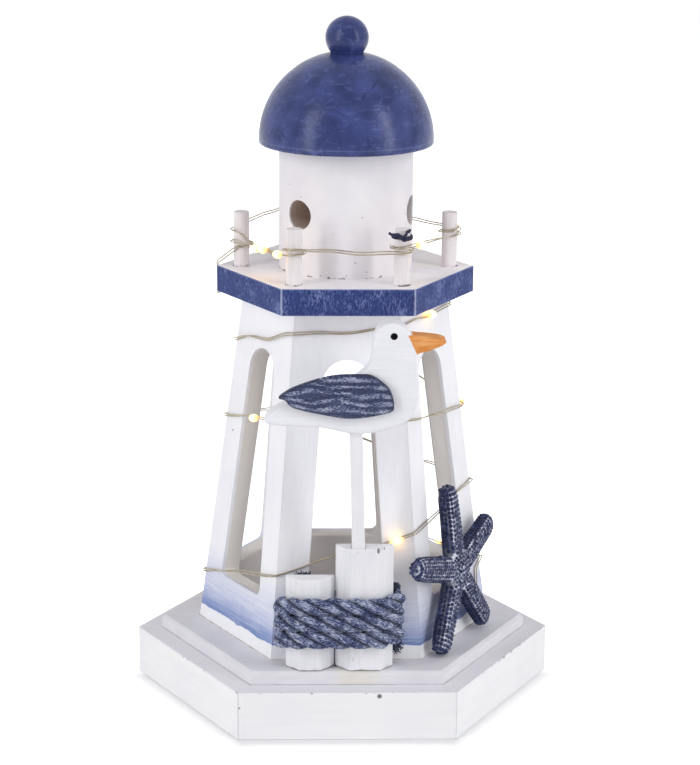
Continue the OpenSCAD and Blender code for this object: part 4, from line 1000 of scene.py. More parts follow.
for side in SIDES:
    place_sanded("base_rim_" + side, 0.35, base_white)
    place_sanded("tower_panel_" + side, 0.45, tower_white, segments=3, joined=True)
place_sanded("step_plate", 0.25, step_white)
for corner in CORNERS:
    place_sanded("gallery_post_" + corner, 0.3, post_white)
place_sanded("lantern_room", 0.3, lantern_white)
place_sanded("mooring_post_tall", 0.45, mooring_white, merged=False)
place_sanded("mooring_post_short", 0.45, mooring_white)
place_sanded("gull_leg", 0.3, leg_white)
place_sanded("dome_roof", 0.9, navy, "blue_paint", segments=4)
place_sanded("dome_finial", 0.12, navy, "blue_paint")

# The deck's paint slots: its white faces, its navy edge and the worn corners of that edge
FACE, EDGE, WORN = range(3)
# Faces further from the axis than this are on the edge
DECK_EDGE_FROM = 34 * MM
deck = sanded("gallery_deck", 0.35, [deck_white, deck_navy, deck_worn], edge_paint=WORN)
for face in deck.data.polygons:
    upright = abs(face.normal.z) < 0.3
    outside = face.center.xy.length > DECK_EDGE_FROM
    if face.material_index == FACE and upright and outside:
        face.material_index = EDGE
    if face.material_index == WORN and not outside:
        face.material_index = FACE
place(deck, "blue_paint", "gallery_deck")


# Gull: a board cut to an outline, with a carved wing

# Outlines in millimetres from where the leg meets the belly: right and up
GULL_TOP = [(16, 30.7), (14.6, 33), (10.3, 34.5), (6.2, 32.4), (4.6, 28), (4.6, 24.4), (2.7, 19.9),
            (-5.1, 14.4), (-14.2, 11.3), (-21.1, 9.3), (-26.4, 6.4)]
GULL_LOW = [(-27.8, 3.2), (-21.7, 2.3), (-11.8, 1.9), (-2.4, 0), (4.8, 0), (11.8, 1.9), (16.6, 4.7),
            (18.4, 9.3), (18.7, 15.1), (18.1, 21.6), (18.1, 24.8)]
GULL_BEAK = [(22.6, 26), (26.9, 28.1), (26.3, 29.2), (23.7, 29.9)]
WING = [(-23.6, 11.9), (-18.7, 15.1), (-8.2, 18.4), (1.3, 18.9), (5, 18.3), (8.6, 15.7), (10.3, 13.5),
        (11.3, 9.6), (9.8, 7), (-0.7, 5.2), (-8.7, 6.1), (-18.7, 8.4), (-21.7, 10.9)]
# The eye, the ends of the orange paint's border and the wing's middle, from the same place
GULL_EYE = (11.1, 30.4)
BEAK_PAINT_LOW = (17.6, 24.8)
BEAK_PAINT_HIGH = (14.9, 30.7)
WING_MIDDLE = (-5, 11.5)
EYE_R = 1.25 * MM
# How far the belly's curve dips below its points
BELLY_DIP = 0.21 * MM
gull_lo, gull_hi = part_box("gull_body")
gull_x = gull_hi.x - GULL_BEAK[1][0] * MM
gull_z = gull_lo.z + BELLY_DIP


def in_gull(point):
    """A point of the gull's outline, in metres in its plane."""
    return Vector((gull_x + point[0] * MM, gull_z + point[1] * MM))


def board(name, outline, front, back, cell, passes):
    """A board cut to an outline in the XZ plane, its edges sanded round."""
    n = len(outline)
    verts = [(p.x, y, p.y) for y in (front, back) for p in outline]
    faces = [list(range(n)), list(range(2 * n - 1, n - 1, -1))]
    faces += [[i, n + i, n + (i + 1) % n, (i + 1) % n] for i in range(n)]
    mesh = bpy.data.meshes.new(name)
    mesh.from_pydata(verts, [], faces)
    shape = bmesh.new()
    shape.from_mesh(mesh)
    bmesh.ops.recalc_face_normals(shape, faces=shape.faces)
    shape.to_mesh(mesh)
    shape.free()
    return melted(new_object(name, mesh), cell, passes)


body_curve = open_spline([Vector(p) for p in GULL_TOP + GULL_LOW], 6)
beak_curve = open_spline([Vector(p) for p in GULL_LOW[-1:] + GULL_BEAK + GULL_TOP[:1]], 6)
body_outline = [in_gull(p) for p in body_curve + beak_curve[1:-1]]
gull = board("gull_board", body_outline, gull_lo.y, gull_hi.y, cell=0.4, passes=20)


def knifed(point, _):
    """The board's face, a little uneven from the knife."""
    cut = noise.noise(Vector((point.x / (9 * MM), 0, point.z / (5 * MM))))
    return point + Vector((0, 0.12 * MM * cut, 0))


reshape(gull, knifed)
gull_eye = in_gull(GULL_EYE)
beak_ends = in_gull(BEAK_PAINT_LOW), in_gull(BEAK_PAINT_HIGH)
for name, shine in (("gull_chalk_paint", 0.35), ("gull_eye_paint", 0.03)):
    gull.data.materials.append(gull_paint(name, shine, gull_eye, *beak_ends))
for face in gull.data.polygons:
    on_eye = (Vector((face.center.x, face.center.z)) - gull_eye).length < EYE_R
    face.material_index = 1 if on_eye else 0
place(gull, "white_paint", "gull_body")

wing_lo, wing_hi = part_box("gull_wing")
wing_outline = [in_gull(p) for p in closed_spline([Vector(p) for p in WING], 6)]
wing = board("gull_wing_carved", wing_outline, wing_lo.y, wing_hi.y, cell=0.26, passes=7)
wing_middle = in_gull(WING_MIDDLE)


def feather_ridge(point):
    """1 on a carved ridge and 0 in a groove; the ridges run along the wing, about 2.6 mm apart."""
    wander = noise.noise(Vector((point.x / (8 * MM), 3.1, point.z / (4 * MM))))
    fine = noise.noise(Vector((point.x / (5 * MM), 7.7, point.z / (0.8 * MM))))
    wave = math.sin(2 * math.pi * (point.z / (2.6 * MM) + 0.02 * point.x / MM + 0.5 * wander))
    return clamped(0.5 + 0.3 * wave + 0.45 * fine)


def carved(point, _):
    """The wing's face: crowned in the middle, with grooves between the ridges."""
    across = (point.z - wing_middle.y) / (7 * MM)
    lengthways = (point.x - wing_middle.x) / (18 * MM)
    facing = clamped((wing_hi.y - point.y) / (1.6 * MM))
    crown = max(0.0, 1 - across * across - 0.4 * lengthways * lengthways)
    depth = 0.5 - 0.5 * crown + 0.34 * (1 - feather_ridge(point))
    return point + Vector((0, facing * MM * depth, 0))


wing_edge = nearest_of([Vector((p.x, 0, p.y)) for p in wing_outline])
mark(wing, "ridge", [feather_ridge(v.co) for v in wing.data.vertices])
mark(wing, "rim", [wing_edge.find(Vector((v.co.x, 0, v.co.z)))[2] for v in wing.data.vertices])
reshape(wing, carved)
wing.data.materials.append(wing_paint())
place(wing, "wing_paint", "gull_wing")


# Rope: three strands laid round one another, wound three times round both posts

# ROPE_LOW is above the step plate, and the other heights are above the rope's lowest row
ROPE_TURNS = 3
ROPE_PITCH = 5.4 * MM
ROPE_OUT = 2.75 * MM
ROPE_LOW = 8.3 * MM
ROPE_FIRST_ROW = 13.6 * MM
ROPE_TOP = 16.2 * MM
ROPE_LEFT_DIP = 2.8 * MM
ROPE_PRESSED = 0.68
CHAMFER = 4.4 * MM
SIDE_DEPTH = 1.4 * MM
STRAND_R = 1.4 * MM
STRAND_OUT = 1.52 * MM
# Strands that pass one point of a row in a turn: with the half, each row's grooves run on into the next row
STRANDS_A_TURN = 13.5
# A strand lies in a groove at this distance from the rope's middle, and on a crown this much further out;
# the yarn is painted darker as shade in the grooves
GROOVE_OUT = 1.6 * MM
CROWN_RISE = 1.2 * MM
tall_lo, tall_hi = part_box("mooring_post_tall")
short_lo, short_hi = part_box("mooring_post_short")
rope_low = step_top + ROPE_LOW
post_left, post_right, post_back, post_front = short_lo.x, tall_hi.x, tall_hi.y, tall_lo.y
post_shape = [Vector(p) for p in (
    (post_left, post_back), (post_left, post_back - SIDE_DEPTH), (post_left + CHAMFER, post_front),
    (post_right - CHAMFER, post_front), (post_right, post_back - SIDE_DEPTH), (post_right, post_back))]


def rope_loop():
    """One turn round both posts: from the right end of the back, along the back, and round by the front."""
    cut = math.degrees(math.atan2(post_back - post_front - SIDE_DEPTH, CHAMFER))
    bearings = [(90, 180), (180, 270 - cut), (270 - cut, 270), (270, 270 + cut), (270 + cut, 360),
                (360, 450)]
    loop = []
    for corner, (start, stop) in zip(post_shape, bearings):
        steps = max(2, round((stop - start) / 12))
        for k in range(steps + 1):
            turn = math.radians(start + (stop - start) * k / steps)
            loop.append(corner + ROPE_OUT * Vector((math.cos(turn), math.sin(turn))))
    return loop


def rope_route():
    """The rope's centre line: level along the front, and down to the next row along the back,
    where it reaches the left end a little low and climbs round it to the front."""
    loop = rope_loop()
    y = post_back + ROPE_OUT
    route = [Vector((post_right - 1 * MM, y, rope_low + ROPE_TOP))]
    for row in range(ROPE_TURNS):
        for p in loop:
            behind_front = clamped((p.y - post_front) / (post_back - post_front))
            dip = ROPE_LEFT_DIP * behind_front if p.x < post_left + CHAMFER else 0
            route.append(Vector((p.x, p.y, rope_low + ROPE_FIRST_ROW - ROPE_PITCH * row - dip)))
    route.append(Vector((post_right - 6 * MM, y, rope_low)))
    return route


def pressed(point):
    """A point of the rope, pressed in against the posts it is pulled round."""
    flat = point.xy
    near = None
    for a, b in zip(post_shape, post_shape[1:] + post_shape[:1]):
        along = clamped((flat - a).dot(b - a) / (b - a).length_squared)
        spot = a.lerp(b, along)
        if near is None or (flat - spot).length < (flat - near).length:
            near = spot
    flat = near.lerp(flat, ROPE_PRESSED)
    return Vector((flat.x, flat.y, point.z))


rope_turn = path_length(rope_loop() + rope_loop()[:1])
rope_line = resampled(rope_route())
rope_frames = carried_frames(rope_line)
rope_length = path_length(rope_line)
strands = []
for k in range(3):
    strand = []
    for i, (point, (side, up)) in enumerate(zip(rope_line, rope_frames)):
        run = rope_length * i / (len(rope_line) - 1)
        turn = 2 * math.pi / 3 * (k + STRANDS_A_TURN * run / rope_turn)
        soft = STRAND_OUT * (1 + 0.06 * noise.noise(Vector((run / (6 * MM), k * 7.3, 0))))
        strand.append(point + soft * (math.cos(turn) * side + math.sin(turn) * up))
    strands.append(strand)
yarn = rope_yarn()
cotton = loose_fibre()
rope = polylines("rope_strands", strands, strand=[0, 1, 2])
run_group(rope, tube_tree, Radius=STRAND_R, Sides=18, Paint=yarn)
rope_middle = nearest_of(rope_line)
reach = [rope_middle.find(v.co)[2] for v in rope.data.vertices]
mark(rope, "crown", [clamped((out - GROOVE_OUT) / CROWN_RISE) for out in reach])
reshape(rope, lambda point, normal: pressed(point + normal * 0.15 * MM * noise.noise(point / (0.9 * MM))))
place(rope, "rope", "mooring_rope")

fuzz = new_object("rope_fuzz", rope.data.copy())
fuzz.data.materials.clear()
run_group(fuzz, fuzz_tree, Density=1.3 / MM ** 2, Length=0.8 * MM, Width=0.05 * MM, Seed=4, Paint=cotton)
place(fuzz, "rope")


# Frayed yarn: both rope ends behind the tall post, and a wisp behind the short one

random.seed(12)


def any_way():
    """A direction drawn at random, up to 1 along each axis."""
    return Vector((random.uniform(-1, 1), random.uniform(-1, 1), random.uniform(-1, 1)))


def tuft(root, lean, reach, count, spread, loose):
    """Loose yarns that lean one way from a root, and stay behind the posts where they pass them."""
    yarns = []
    for _ in range(count):
        start = root + any_way() * spread
        heading = (lean + any_way() * 1.1 * loose).normalized()
        bend = any_way() * loose * reach
        points = [start + heading * reach * random.uniform(0.9, 1.0) * t + bend * math.sin(2.6 * t)
                  for t in (0, 0.2, 0.4, 0.6, 0.8, 1)]
        yarns.append([Vector((p.x, max(p.y, post_back + 0.3 * MM), p.z)) for p in points])
    return yarns


behind = post_back + 1.8 * MM
high_end = Vector((post_right + 0.6 * MM, behind, rope_low + ROPE_TOP + 0.2 * MM))
low_end = Vector((post_right - 0.4 * MM, behind, rope_low - 0.6 * MM))
wisp = Vector((post_left + 5 * MM, behind - 0.8 * MM, rope_low + ROPE_FIRST_ROW))
tufts = tuft(high_end, Vector((0.4, 0.2, 0.4)), reach=1.4 * MM, count=60,
             spread=Vector((0.9, 0.9, 0.9)) * MM, loose=0.35)
tufts += tuft(low_end, Vector((0.5, 0, -0.9)), reach=4.2 * MM, count=50,
              spread=Vector((0.8, 0.8, 0.8)) * MM, loose=0.35)
tufts += tuft(wisp, Vector((0, 0.02, 1)), reach=short_hi.z - wisp.z, count=80,
              spread=Vector((1.8, 0.8, 0.5)) * MM, loose=0.1)
frayed = polylines("rope_frayed_ends", tufts, strand=[k * 0.11 for k in range(len(tufts))])
run_group(frayed, tube_tree, Radius=0.16 * MM, Sides=5, Paint=yarn)
# The frayed yarns get a little of the yarn's painted groove shade
mark(frayed, "crown", [0.3] * len(frayed.data.vertices))
place(frayed, "rope")


# Starfish: five blunt arms, set all over with small beads in rows

STAR_ARM = 25.4 * MM
STAR_TIP = 3 * MM
STAR_GAP = 1.6 * MM
STAR_TURN = 1.6
STAR_ALONG = -4.3 * MM
STAR_MIDDLE = 3 * MM
BEAD_PITCH = 1.4 * MM
BEAD_R = 0.62 * MM
# An arm's half width and half thickness at distances from the middle, in millimetres
STAR_RINGS = [(0, 4.2, 2.9), (7, 4.0, 2.9), (17, 3.6, 2.75), (24.2, 3.4, 2.7), (26.4, 2.9, 2.3),
              (27.6, 1.7, 1.3)]
STAR_HUB = (6.8 * MM, 6.8 * MM, 3.2 * MM)
# Rings of beads in millimetres: round an arm's end, and round the middle of the face
TIP_RINGS = (0.8, 2.1)
HUB_RINGS = (0.6, 1.8, 3.0, 4.2, 5.4)
# Distances outside the skin from which the beads' places are looked for
LOOK_FROM = 7 * MM
LOOK_FAR = 9 * MM
star_up = STAR_ARM * math.cos(math.radians(36 - STAR_TURN)) + STAR_TIP
star_place = (Matrix.Rotation(math.radians(60), 4, "Z")
              @ Matrix.Translation((STAR_ALONG, -tower_foot, step_top))
              @ Matrix.Rotation(-tower_lean, 4, "X")
              @ Matrix.Translation((0, -STAR_GAP, star_up))
              @ Matrix.Rotation(math.radians(90), 4, "X"))


def star_arm_turn(k):
    """The turn from the top to an arm, counted to the left."""
    return Matrix.Rotation(math.radians(STAR_TURN + 72 * k), 4, "Z")


def star_core():
    """The arms and the middle as overlapping solids, made one by fine cells and melted together."""
    shape = bmesh.new()
    around = 20
    for k in range(5):
        rings = []
        for y, wide, thick in STAR_RINGS:
            ring = []
            for j in range(around):
                turn = 2 * math.pi * j / around
                x = math.copysign(abs(math.cos(turn)) ** 0.8, math.cos(turn)) * wide
                z = math.copysign(abs(math.sin(turn)) ** 0.8, math.sin(turn)) * thick
                spot = Vector((x * MM, y * MM, z * MM + STAR_MIDDLE))
                ring.append(shape.verts.new(star_arm_turn(k) @ spot))
            rings.append(ring)
        for low, high in zip(rings, rings[1:]):
            for j in range(around):
                shape.faces.new((low[j], low[j - 1], high[j - 1], high[j]))
        shape.faces.new(rings[0])
        shape.faces.new(rings[-1][::-1])
    hub = Matrix.Translation((0, 0, STAR_MIDDLE)) @ Matrix.Diagonal((*STAR_HUB, 1))
    bmesh.ops.create_uvsphere(shape, u_segments=32, v_segments=16, radius=1, matrix=hub)
    bmesh.ops.recalc_face_normals(shape, faces=shape.faces)
    mesh = bpy.data.meshes.new("starfish_body")
    shape.to_mesh(mesh)
    shape.free()
    return melted(new_object("starfish_body", mesh), cell=0.4, passes=10)


star = star_core()
left_arm = (star_arm_turn(1) @ Vector((0, 1, 0))).xy


def star_white(point, normal):
    """How much white is left at a point: most along the crests, and round the left arm."""
    crest = (normal.z - 0.55) / 0.25
    leftwards = point.xy.dot(left_arm) / (27 * MM)
    return min(1.0, max(0.06, crest, min(1.4 * leftwards - 0.1, 1.6 * normal.z + 0.5)))


mark(star, "front", [star_white(v.co, v.normal) for v in star.data.vertices])
reshape(star, lambda point, normal: point + normal * 0.2 * MM * noise.noise(point / (6 * MM)))
star_skin = BVHTree.FromPolygons([v.co.copy() for v in star.data.vertices],
                                 [tuple(p.vertices) for p in star.data.polygons])


def star_rows():
    """Rows of bead places along every arm, over its face and down both sides, and round its end."""
    rows = []
    for k in range(5):
        turn = star_arm_turn(k)
        for n in range(-5, 6):
            lean = math.radians(20 * n)
            # Rows start further out down an arm's sides, and every other row half a bead further
            start = max(6.4, 2.6 + 1.2 * abs(n)) * MM + (n % 2) * BEAD_PITCH / 2
            row = []
            for i in range(70):
                y = start + i * 0.4 * MM
                if y > STAR_ARM + STAR_TIP * 0.5:
                    break
                wobble = 0.16 * MM * noise.noise(Vector((y / (2.2 * MM), n * 3.7, k * 9.1)))
                aside = LOOK_FROM * math.sin(lean) + wobble
                aim = turn @ Vector((aside, y, STAR_MIDDLE + LOOK_FROM * math.cos(lean)))
                inward = (turn @ Vector((0, y, STAR_MIDDLE)) - aim).normalized()
                found = star_skin.ray_cast(aim, inward)[0]
                if found:
                    row.append(found)
            rows.append(row)
        tip = (turn @ Vector((0, -1, 0))).normalized()
        for ring in TIP_RINGS:
            hits = []
            for bearing in range(0, 361, 15):
                spot = at_bearing(ring * MM, bearing, 0)
                aim = turn @ Vector((spot.x, STAR_ARM + LOOK_FAR, STAR_MIDDLE + spot.y))
                hits.append(star_skin.ray_cast(aim, tip)[0])
            rows.append([p for p in hits if p])
    for ring in HUB_RINGS:
        rows.append([])
        for bearing in range(0, 361, 6):
            spot = at_bearing(ring * MM, bearing, LOOK_FAR)
            found = star_skin.ray_cast(spot, Vector((0, 0, -1)))[0]
            if found and found.z > STAR_MIDDLE:
                rows[-1].append(found)
    return [row for row in rows if len(row) > 1]


beads = polylines("starfish_beads", star_rows())
run_group(beads, bead_tree, Pitch=BEAD_PITCH, Radius=BEAD_R, Seed=7, Paint=star_bead())
on_skin = [star_skin.find_nearest(v.co) for v in beads.data.vertices]
mark(beads, "rise", [(v.co - spot[0]).dot(spot[1]) for v, spot in zip(beads.data.vertices, on_skin)])
mark(beads, "front", [star_white(spot[0], spot[1]) for spot in on_skin])
for piece in (star, beads):
    piece.data.transform(star_place)
star.data.materials.append(star_ground())
place(star, "star_resin", "starfish")
place(beads, "star_resin")


# Light string: twin wire with resin drops, from the gallery down round the tower and into the base

WIRE_OUT = 0.75 * MM
STRAND_WIRE_R = 0.2 * MM
STRAND_WIRE_OUT = 0.42 * MM
WIRE_END_BEARING = 226
WIRE_END_RISE = 9 * MM
POST_R = 2.5 * MM
POST_RING = 33.2 * MM
WRAP_R = POST_R + WIRE_OUT
WRAP_RISE = 2 * MM
WRAP_SWEEP = 420
WRAP_STEPS = 28
# How far a long run of wire sways, the length over which its strands change places, and how that varies
WIRE_SWAY = 1.6 * MM
WIRE_TWIST = 55 * MM
TWIST_VARIES = 19 * MM
LED_R = 1.2 * MM
LED_LEN = 5 * MM
# Along the tower the drops are LED_PITCH apart, the lowest LED_FIRST from the wire's end in the battery box
LED_PITCH = 99 * MM
LED_FIRST = 74 * MM
LED_OUT = 1.0 / math.cos(HALF_SIDE) * MM
# A corner, the wrap's height above the deck in millimetres, and the bearings where it starts and ends
WRAPS = [(3, 7.5, 250, 570), (4, 10.5, 210, 630), (5, 11.5, 270, 690), (6, 11.5, 330, 750),
         (7, 11, 390, 810), (8, 12.5, 450, 870), (9, 11.6, 510, 570)]
# A corner, counted in sixths of a turn from the right, and a depth below the deck in millimetres
WIRE_DROPS = [(2, 2.4), (1, 3), (0, 4), (5, 4.6), (4, 7), (3, 15.8), (2, 23.3), (1, 30.8), (0, 38),
              (5, 33.8), (4, 33.8), (3, 41.1), (2, 48), (1, 65.3), (0, 63), (5, 69.6), (4, 83), (3, 94.4),
              (2, 96), (1, 96), (0, 89.8)]
# A wrap, and a length in millimetres past it; the drop beside the front left post has no solid of its own
LED_PAST_WRAP = [(0, 17), (0, 30), (2, 4.5), (3, 4.5)]


def tower_face(z):
    """Distance from the axis to the tower's boards at a height."""
    return tower_foot - (z - step_top) * tower_slope


def wrap_point(row, t):
    """A point of the wire's turn round a gallery post, a share t along it."""
    corner, height, start, stop = row
    rise = WRAP_RISE * (stop - start) / WRAP_SWEEP * (t - 0.5)
    centre = at_bearing(POST_RING, 60 * corner, deck_top + height * MM + rise)
    return centre + at_bearing(WRAP_R, start + (stop - start) * t, 0)


def corner_point(corner, drop):
    """Where the wire passes a corner of the tower, drop millimetres below the deck."""
    z = deck_low - drop * MM
    return at_bearing((tower_face(z) + WIRE_OUT) / math.cos(HALF_SIDE), 60 * corner, z)


def on_board(u, h, out):
    """A point off the front right board: u millimetres along it to the right, h above the step plate."""
    z = step_top + h * MM
    d = tower_face(z) + out
    turn = math.radians(-30)
    x = d * math.cos(turn) - u * MM * math.sin(turn)
    y = d * math.sin(turn) + u * MM * math.cos(turn)
    return Vector((x, y, z))


def wire_route():
    """The wire's centre line in three parts: from its free end round the gallery, over the deck's edge, and
    down round the tower to the battery box."""
    gallery = [wrap_point(row, k / WRAP_STEPS) for row in WRAPS for k in range(WRAP_STEPS + 1)]
    free_end = at_bearing(POST_RING, WIRE_END_BEARING, deck_top + WIRE_END_RISE) + Vector((0, -WIRE_OUT, 0))
    gallery = [free_end] + gallery[::-1]
    deck_face = -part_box("gallery_deck")[0].y
    turn = math.radians(150)
    u = deck_face * math.tan(HALF_SIDE) - 2 * MM
    edge = Vector((math.cos(turn), math.sin(turn), 0)) * (deck_face + WIRE_OUT)
    edge += Vector((-math.sin(turn), math.cos(turn), 0)) * u
    over = [Vector((edge.x, edge.y, deck_top + WIRE_OUT)), Vector((edge.x, edge.y, deck_low - WIRE_OUT))]
    hole = on_board(16, 0, 1.6 * MM)
    entry = Vector((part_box("battery_box")[1].x, -4 * MM, 9.7 * MM))
    below = Vector((hole.x, hole.y, step_top - 6.2 * MM))
    bend = Vector((hole.x - 4 * MM, hole.y + 2 * MM, entry.z))
    lower = [on_board(18, 17.5, WIRE_OUT), on_board(17, 9, WIRE_OUT), on_board(16, 3, 1.3 * MM), hole,
             below, bend, entry, entry - Vector((2 * MM, 0, 0))]
    drops = [corner_point(*row) for row in WIRE_DROPS]
    return gallery, over, drops + lower


wire_gallery, wire_over, wire_tower = wire_route()


def lively(points, sway):
    """A polyline with each long straight run bowed a little up and down, as bent wire lies."""
    made = []
    for i, (a, b) in enumerate(zip(points, points[1:])):
        made.append(a)
        run = (b - a).length
        if run < 12 * MM:
            continue
        steps = int(run / (1.5 * MM))
        for k in range(1, steps):
            t = k / steps
            held = math.sin(math.pi * t)
            bow = noise.noise(Vector((2.6 * t, i * 5.17, 0.4)))
            made.append(a.lerp(b, t) + Vector((0, 0, sway * held * bow)))
    return made + [points[-1]]


plain_wire = wire_gallery + wire_over + wire_tower
wire_line = resampled(lively(plain_wire, WIRE_SWAY))
wire_length = path_length(wire_line)
pair = [[], []]
side = Vector((0, 0, 1))
for i, point in enumerate(wire_line):
    run = wire_length * i / (len(wire_line) - 1)
    ahead = (wire_line[min(i + 1, len(wire_line) - 1)] - wire_line[max(i - 1, 0)]).normalized()
    upright = Vector((0, 0, 1)) - ahead.z * ahead
    side = upright.normalized() if upright.length > 0.3 else (side - side.dot(ahead) * ahead).normalized()
    turn = math.pi * run / WIRE_TWIST + 0.7 * math.sin(run / TWIST_VARIES)
    offset = STRAND_WIRE_OUT * (math.cos(turn) * side + math.sin(turn) * ahead.cross(side))
    pair[0].append(point + offset)
    pair[1].append(point - offset)
wire = polylines("light_wire_pair", pair, strand=[0, 1])
run_group(wire, tube_tree, Radius=STRAND_WIRE_R, Sides=8, Paint=wire_metal())
place(wire, "enamelled_wire", "light_wire")


def run_along(points, wanted):
    """The place and direction at a length along a polyline."""
    done = 0.0
    for a, b in zip(points, points[1:]):
        gap = (b - a).length
        if done + gap >= wanted:
            return a.lerp(b, (wanted - done) / gap), (b - a).normalized()
        done += gap
    return points[-1], (points[-1] - points[-2]).normalized()


def led_places():
    """Each drop's place on the wire, shifted out clear of the wood, and the wire's direction there."""
    length = path_length(plain_wire)
    tower_from = length - path_length(wire_over[1:] + wire_tower) + LED_LEN
    places = [run_along(plain_wire, LED_LEN)]
    for row, past in LED_PAST_WRAP:
        leave, meet = wrap_point(WRAPS[row], 1), wrap_point(WRAPS[row + 1], 0)
        way = (meet - leave).normalized()
        places.append((leave + way * past * MM, way))
    at = length - LED_FIRST
    while at >= tower_from:
        places.append(run_along(plain_wire, at))
        at -= LED_PITCH
    return [(p + Vector((p.x, p.y, 0)).normalized() * LED_OUT, way) for p, way in places]


leds = led_places()
led_mesh = bpy.data.meshes.new("led_drops")
led_mesh.from_pydata([p for p, _ in leds], [], [])
headings = led_mesh.attributes.new("heading", "FLOAT_VECTOR", "POINT")
headings.data.foreach_set("vector", [c for _, way in leds for c in way])
led_drops = new_object("led_drops", led_mesh)
run_group(led_drops, drop_tree, Radius=LED_R, Length=LED_LEN, Paint=led_resin())
place(led_drops, "led_resin", "led_beads")


# Thread: two turns and a knot with two tails, round the front right gallery post

THREAD_R = 0.42 * MM
THREAD_OUT = POST_R + THREAD_R + 0.05 * MM
THREAD_FROM = 265
THREAD_SWEEP = 720
THREAD_STEPS = 40
# Heights above the deck in millimetres
THREAD_LOW = 14.6
THREAD_RISE = 1.1
knot_post = at_bearing(POST_RING, 300, deck_top)


def thread_route():
    """The turns round the post, the two tails and the knot's loop, as lines."""
    turns = []
    for k in range(THREAD_STEPS + 1):
        bearing = THREAD_FROM + THREAD_SWEEP * k / THREAD_STEPS
        rise = (THREAD_LOW + THREAD_RISE * k / THREAD_STEPS) * MM
        turns.append(knot_post + at_bearing(THREAD_OUT, bearing, rise))
    # Points in millimetres from the post's foot on the deck
    left = [(-0.4, -3.2, 15.6), (-1.6, -3.9, 16.6), (-3, -3.8, 16.3), (-4.3, -3.4, 16.9)]
    right = [(0.3, -3.2, 15.2), (0.9, -4, 16.4), (1.4, -3.7, 17.5), (1.9, -3.4, 17.2), (2.2, -2.9, 17.9)]
    loop = [(-0.9, -3.2, 15.1), (0.2, -4.1, 15.9), (1.2, -3.5, 15.2), (0.4, -3.9, 14.6), (-0.7, -3.6, 15.6)]
    lines = [turns]
    for hand in (left, right, loop):
        points = [knot_post + Vector(p) * MM for p in hand]
        lines.append(open_spline(points, 6))
    return lines


thread = polylines("thread_knot", thread_route())
run_group(thread, tube_tree, Radius=THREAD_R, Sides=8, Paint=thread_cotton())
place(thread, "thread", "thread_tie")


# Battery box under the step plate: the solids keep their shapes, the moulded ones with soft edges

black = moulded_plastic("black_abs", "#2a2a2d", 0.45)
knob_white = moulded_plastic("white_abs", "#e4e4e2", 0.35)
steel = plated_steel()
film = cell_jacket()
INNER = {"battery_box": black, "battery_door": black, "switch_body": black, "switch_slider": knob_white,
         "battery_cell_left": film, "battery_cell_right": film, "contact_springs": steel,
         "contact_plates": steel, "box_screws": steel}
for node, finish in INNER.items():
    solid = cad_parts[node]
    solid.data.materials.clear()
    solid.data.materials.append(finish)
    if finish in (black, knob_white):
        solid.modifiers.new("merged", "WELD").merge_threshold = SAME_POINT
        soft_edge = solid.modifiers.new("moulded_edge", "BEVEL")
        soft_edge.width = 0.2 * MM
        soft_edge.segments = 2
        soft_edge.limit_method = "ANGLE"
        soft_edge.angle_limit = math.radians(SHARP_EDGE)


# Camera, light and floor

def aim_camera():
    """The camera at the photograph's place: 112 mm lens on a 36 mm sensor, a little above the gallery."""
    spot = Vector((-20.78, -746.62, 296.22)) * MM
    target = Vector((1.76, -0.05, 99.42)) * MM
    roll = math.radians(0.45)
    ahead = (target - spot).normalized()
    right = ahead.cross(Vector((0, 0, 1))).normalized()
    up = right.cross(ahead)
    level_right = math.cos(roll) * right + math.sin(roll) * up
    level_up = math.cos(roll) * up - math.sin(roll) * right
    data = bpy.data.cameras.new("camera")
    data.lens = 112.06
    data.sensor_width = 36
    data.clip_start = 0.01
    data.clip_end = 20
    camera = new_object("camera", data)
    axes = Matrix((level_right, level_up, -ahead)).transposed().to_4x4()
    camera.matrix_world = Matrix.Translation(spot) @ axes
    bpy.context.scene.camera = camera


# The lamps face the middle of the tower
LAMP_AIM = Vector((0, 0, 0.11))


def softbox(name, bearing, elevation, distance, size, power, mirrored):
    """A soft light that faces the tower; bearing is from the front, to the right.
    Where it isn't mirrored, it makes no highlight in the gloss of the paint."""
    data = bpy.data.lights.new(name, "AREA")
    data.shape = "RECTANGLE"
    data.size, data.size_y = size
    data.energy = power
    a, e = math.radians(bearing), math.radians(elevation)
    back = Vector((math.sin(a) * math.cos(e), -math.cos(a) * math.cos(e), math.sin(e)))
    lamp = new_object(name, data)
    lamp.visible_glossy = mirrored
    lamp.location = LAMP_AIM + back * distance
    lamp.rotation_euler = back.to_track_quat("Z", "Y").to_euler()


def seen_directly(tree):
    """1 for camera, glossy and transmission rays, which meet the white background, and 0 for the light on
    the object."""
    ray = add(tree, "ShaderNodeLightPath", out=None)
    seen = add(tree, "ShaderNodeMath", {0: ray["Is Camera Ray"], 1: ray["Is Glossy Ray"]},
               operation="MAXIMUM")
    return add(tree, "ShaderNodeMath", {0: seen, 1: ray["Is Transmission Ray"]}, operation="MAXIMUM")


def light_world(ambient):
    """An even white sky: white where it is seen, and ambient as light on the object."""
    world = bpy.data.worlds.new("studio")
    bpy.context.scene.world = world
    world.use_nodes = True
    tree = world.node_tree
    tree.nodes.clear()
    strength = add(tree, "ShaderNodeMapRange",
                   {"Value": seen_directly(tree), "To Min": ambient, "To Max": 1.0})
    sky = add(tree, "ShaderNodeBackground", {"Color": (1, 1, 1, 1), "Strength": strength})
    add(tree, "ShaderNodeOutputWorld", {"Surface": sky})


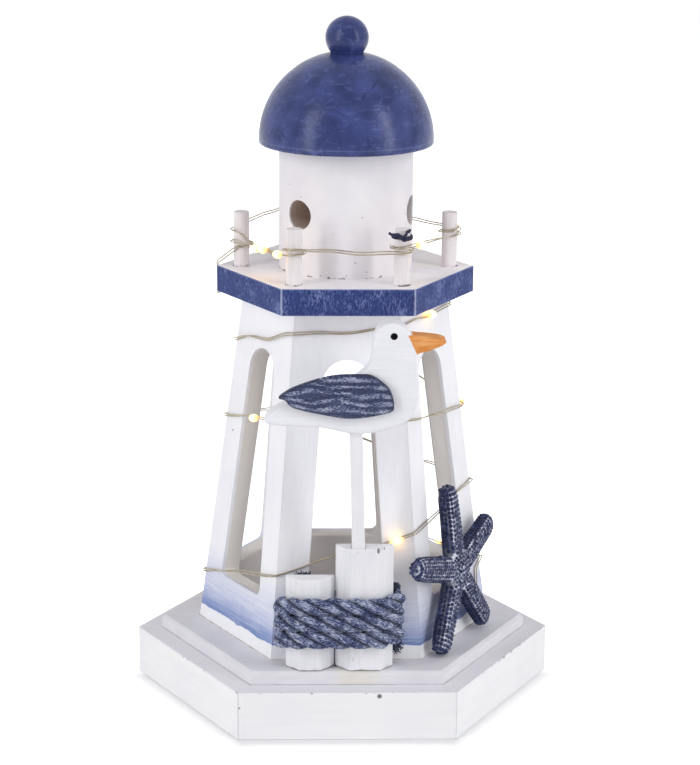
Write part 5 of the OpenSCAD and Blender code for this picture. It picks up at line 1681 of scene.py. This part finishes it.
# The contact shadow on the floor: how far it lies to the front, how far inside the base's sides it is full,
# and how wide it fades
SHADE_TO_FRONT = 5 * MM
SHADE_INSIDE = 3 * MM
SHADE_WIDTH = 12 * MM


def lay_floor():
    """A pale floor that the camera sees as white, apart from the object's contact shadow."""
    made, tree = material("white_floor")
    paper = add(tree, "ShaderNodeBsdfDiffuse", {"Color": srgb("#ececee")})
    coords = add(tree, "ShaderNodeTexCoord", out=3)
    towards_front = add(tree, "ShaderNodeVectorMath", {0: coords, 1: (0, SHADE_TO_FRONT, 0)},
                        operation="ADD")
    shade_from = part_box("base_rim_back")[1].y - SHADE_INSIDE
    lift = add(tree, "ShaderNodeMapRange",
               {"Value": hexagon_reach(tree, towards_front), "From Min": shade_from,
                "From Max": shade_from + SHADE_WIDTH, "To Min": 0.0, "To Max": 1.0})
    lift = add(tree, "ShaderNodeMath", {0: lift, 1: seen_directly(tree)}, operation="MULTIPLY")
    glow = add(tree, "ShaderNodeEmission", {"Color": (1, 1, 1, 1), "Strength": lift})
    both = add(tree, "ShaderNodeAddShader", {0: paper, 1: glow})
    add(tree, "ShaderNodeOutputMaterial", {"Surface": both})
    half = 1.6
    mesh = bpy.data.meshes.new("floor")
    corners = [(-half, -half, 0), (half, -half, 0), (half, half, 0), (-half, half, 0)]
    mesh.from_pydata(corners, [], [(0, 1, 2, 3)])
    mesh.materials.append(made)
    new_object("floor", mesh)


# Name, bearing and elevation in degrees, distance and size in metres, power in watts, and mirrored or not
LAMPS = [("softbox_left", -52, 20, 0.95, (0.13, 0.9), 3.5, True),
         ("softbox_right", 56, 20, 0.95, (0.13, 0.9), 3.5, True),
         ("fill_left", -100, 12, 1.1, (0.8, 0.8), 1.7, False),
         ("fill_right", 105, 12, 1.1, (0.8, 0.8), 1.5, False),
         ("fill_front", 18, 56, 1.2, (0.45, 0.45), 1.5, False),
         ("fill_back", 180, 20, 1.2, (0.8, 0.8), 0.7, False)]
aim_camera()
for lamp in LAMPS:
    softbox(*lamp)
light_world(ambient=0.32)
lay_floor()
bpy.context.scene.view_settings.view_transform = "Standard"
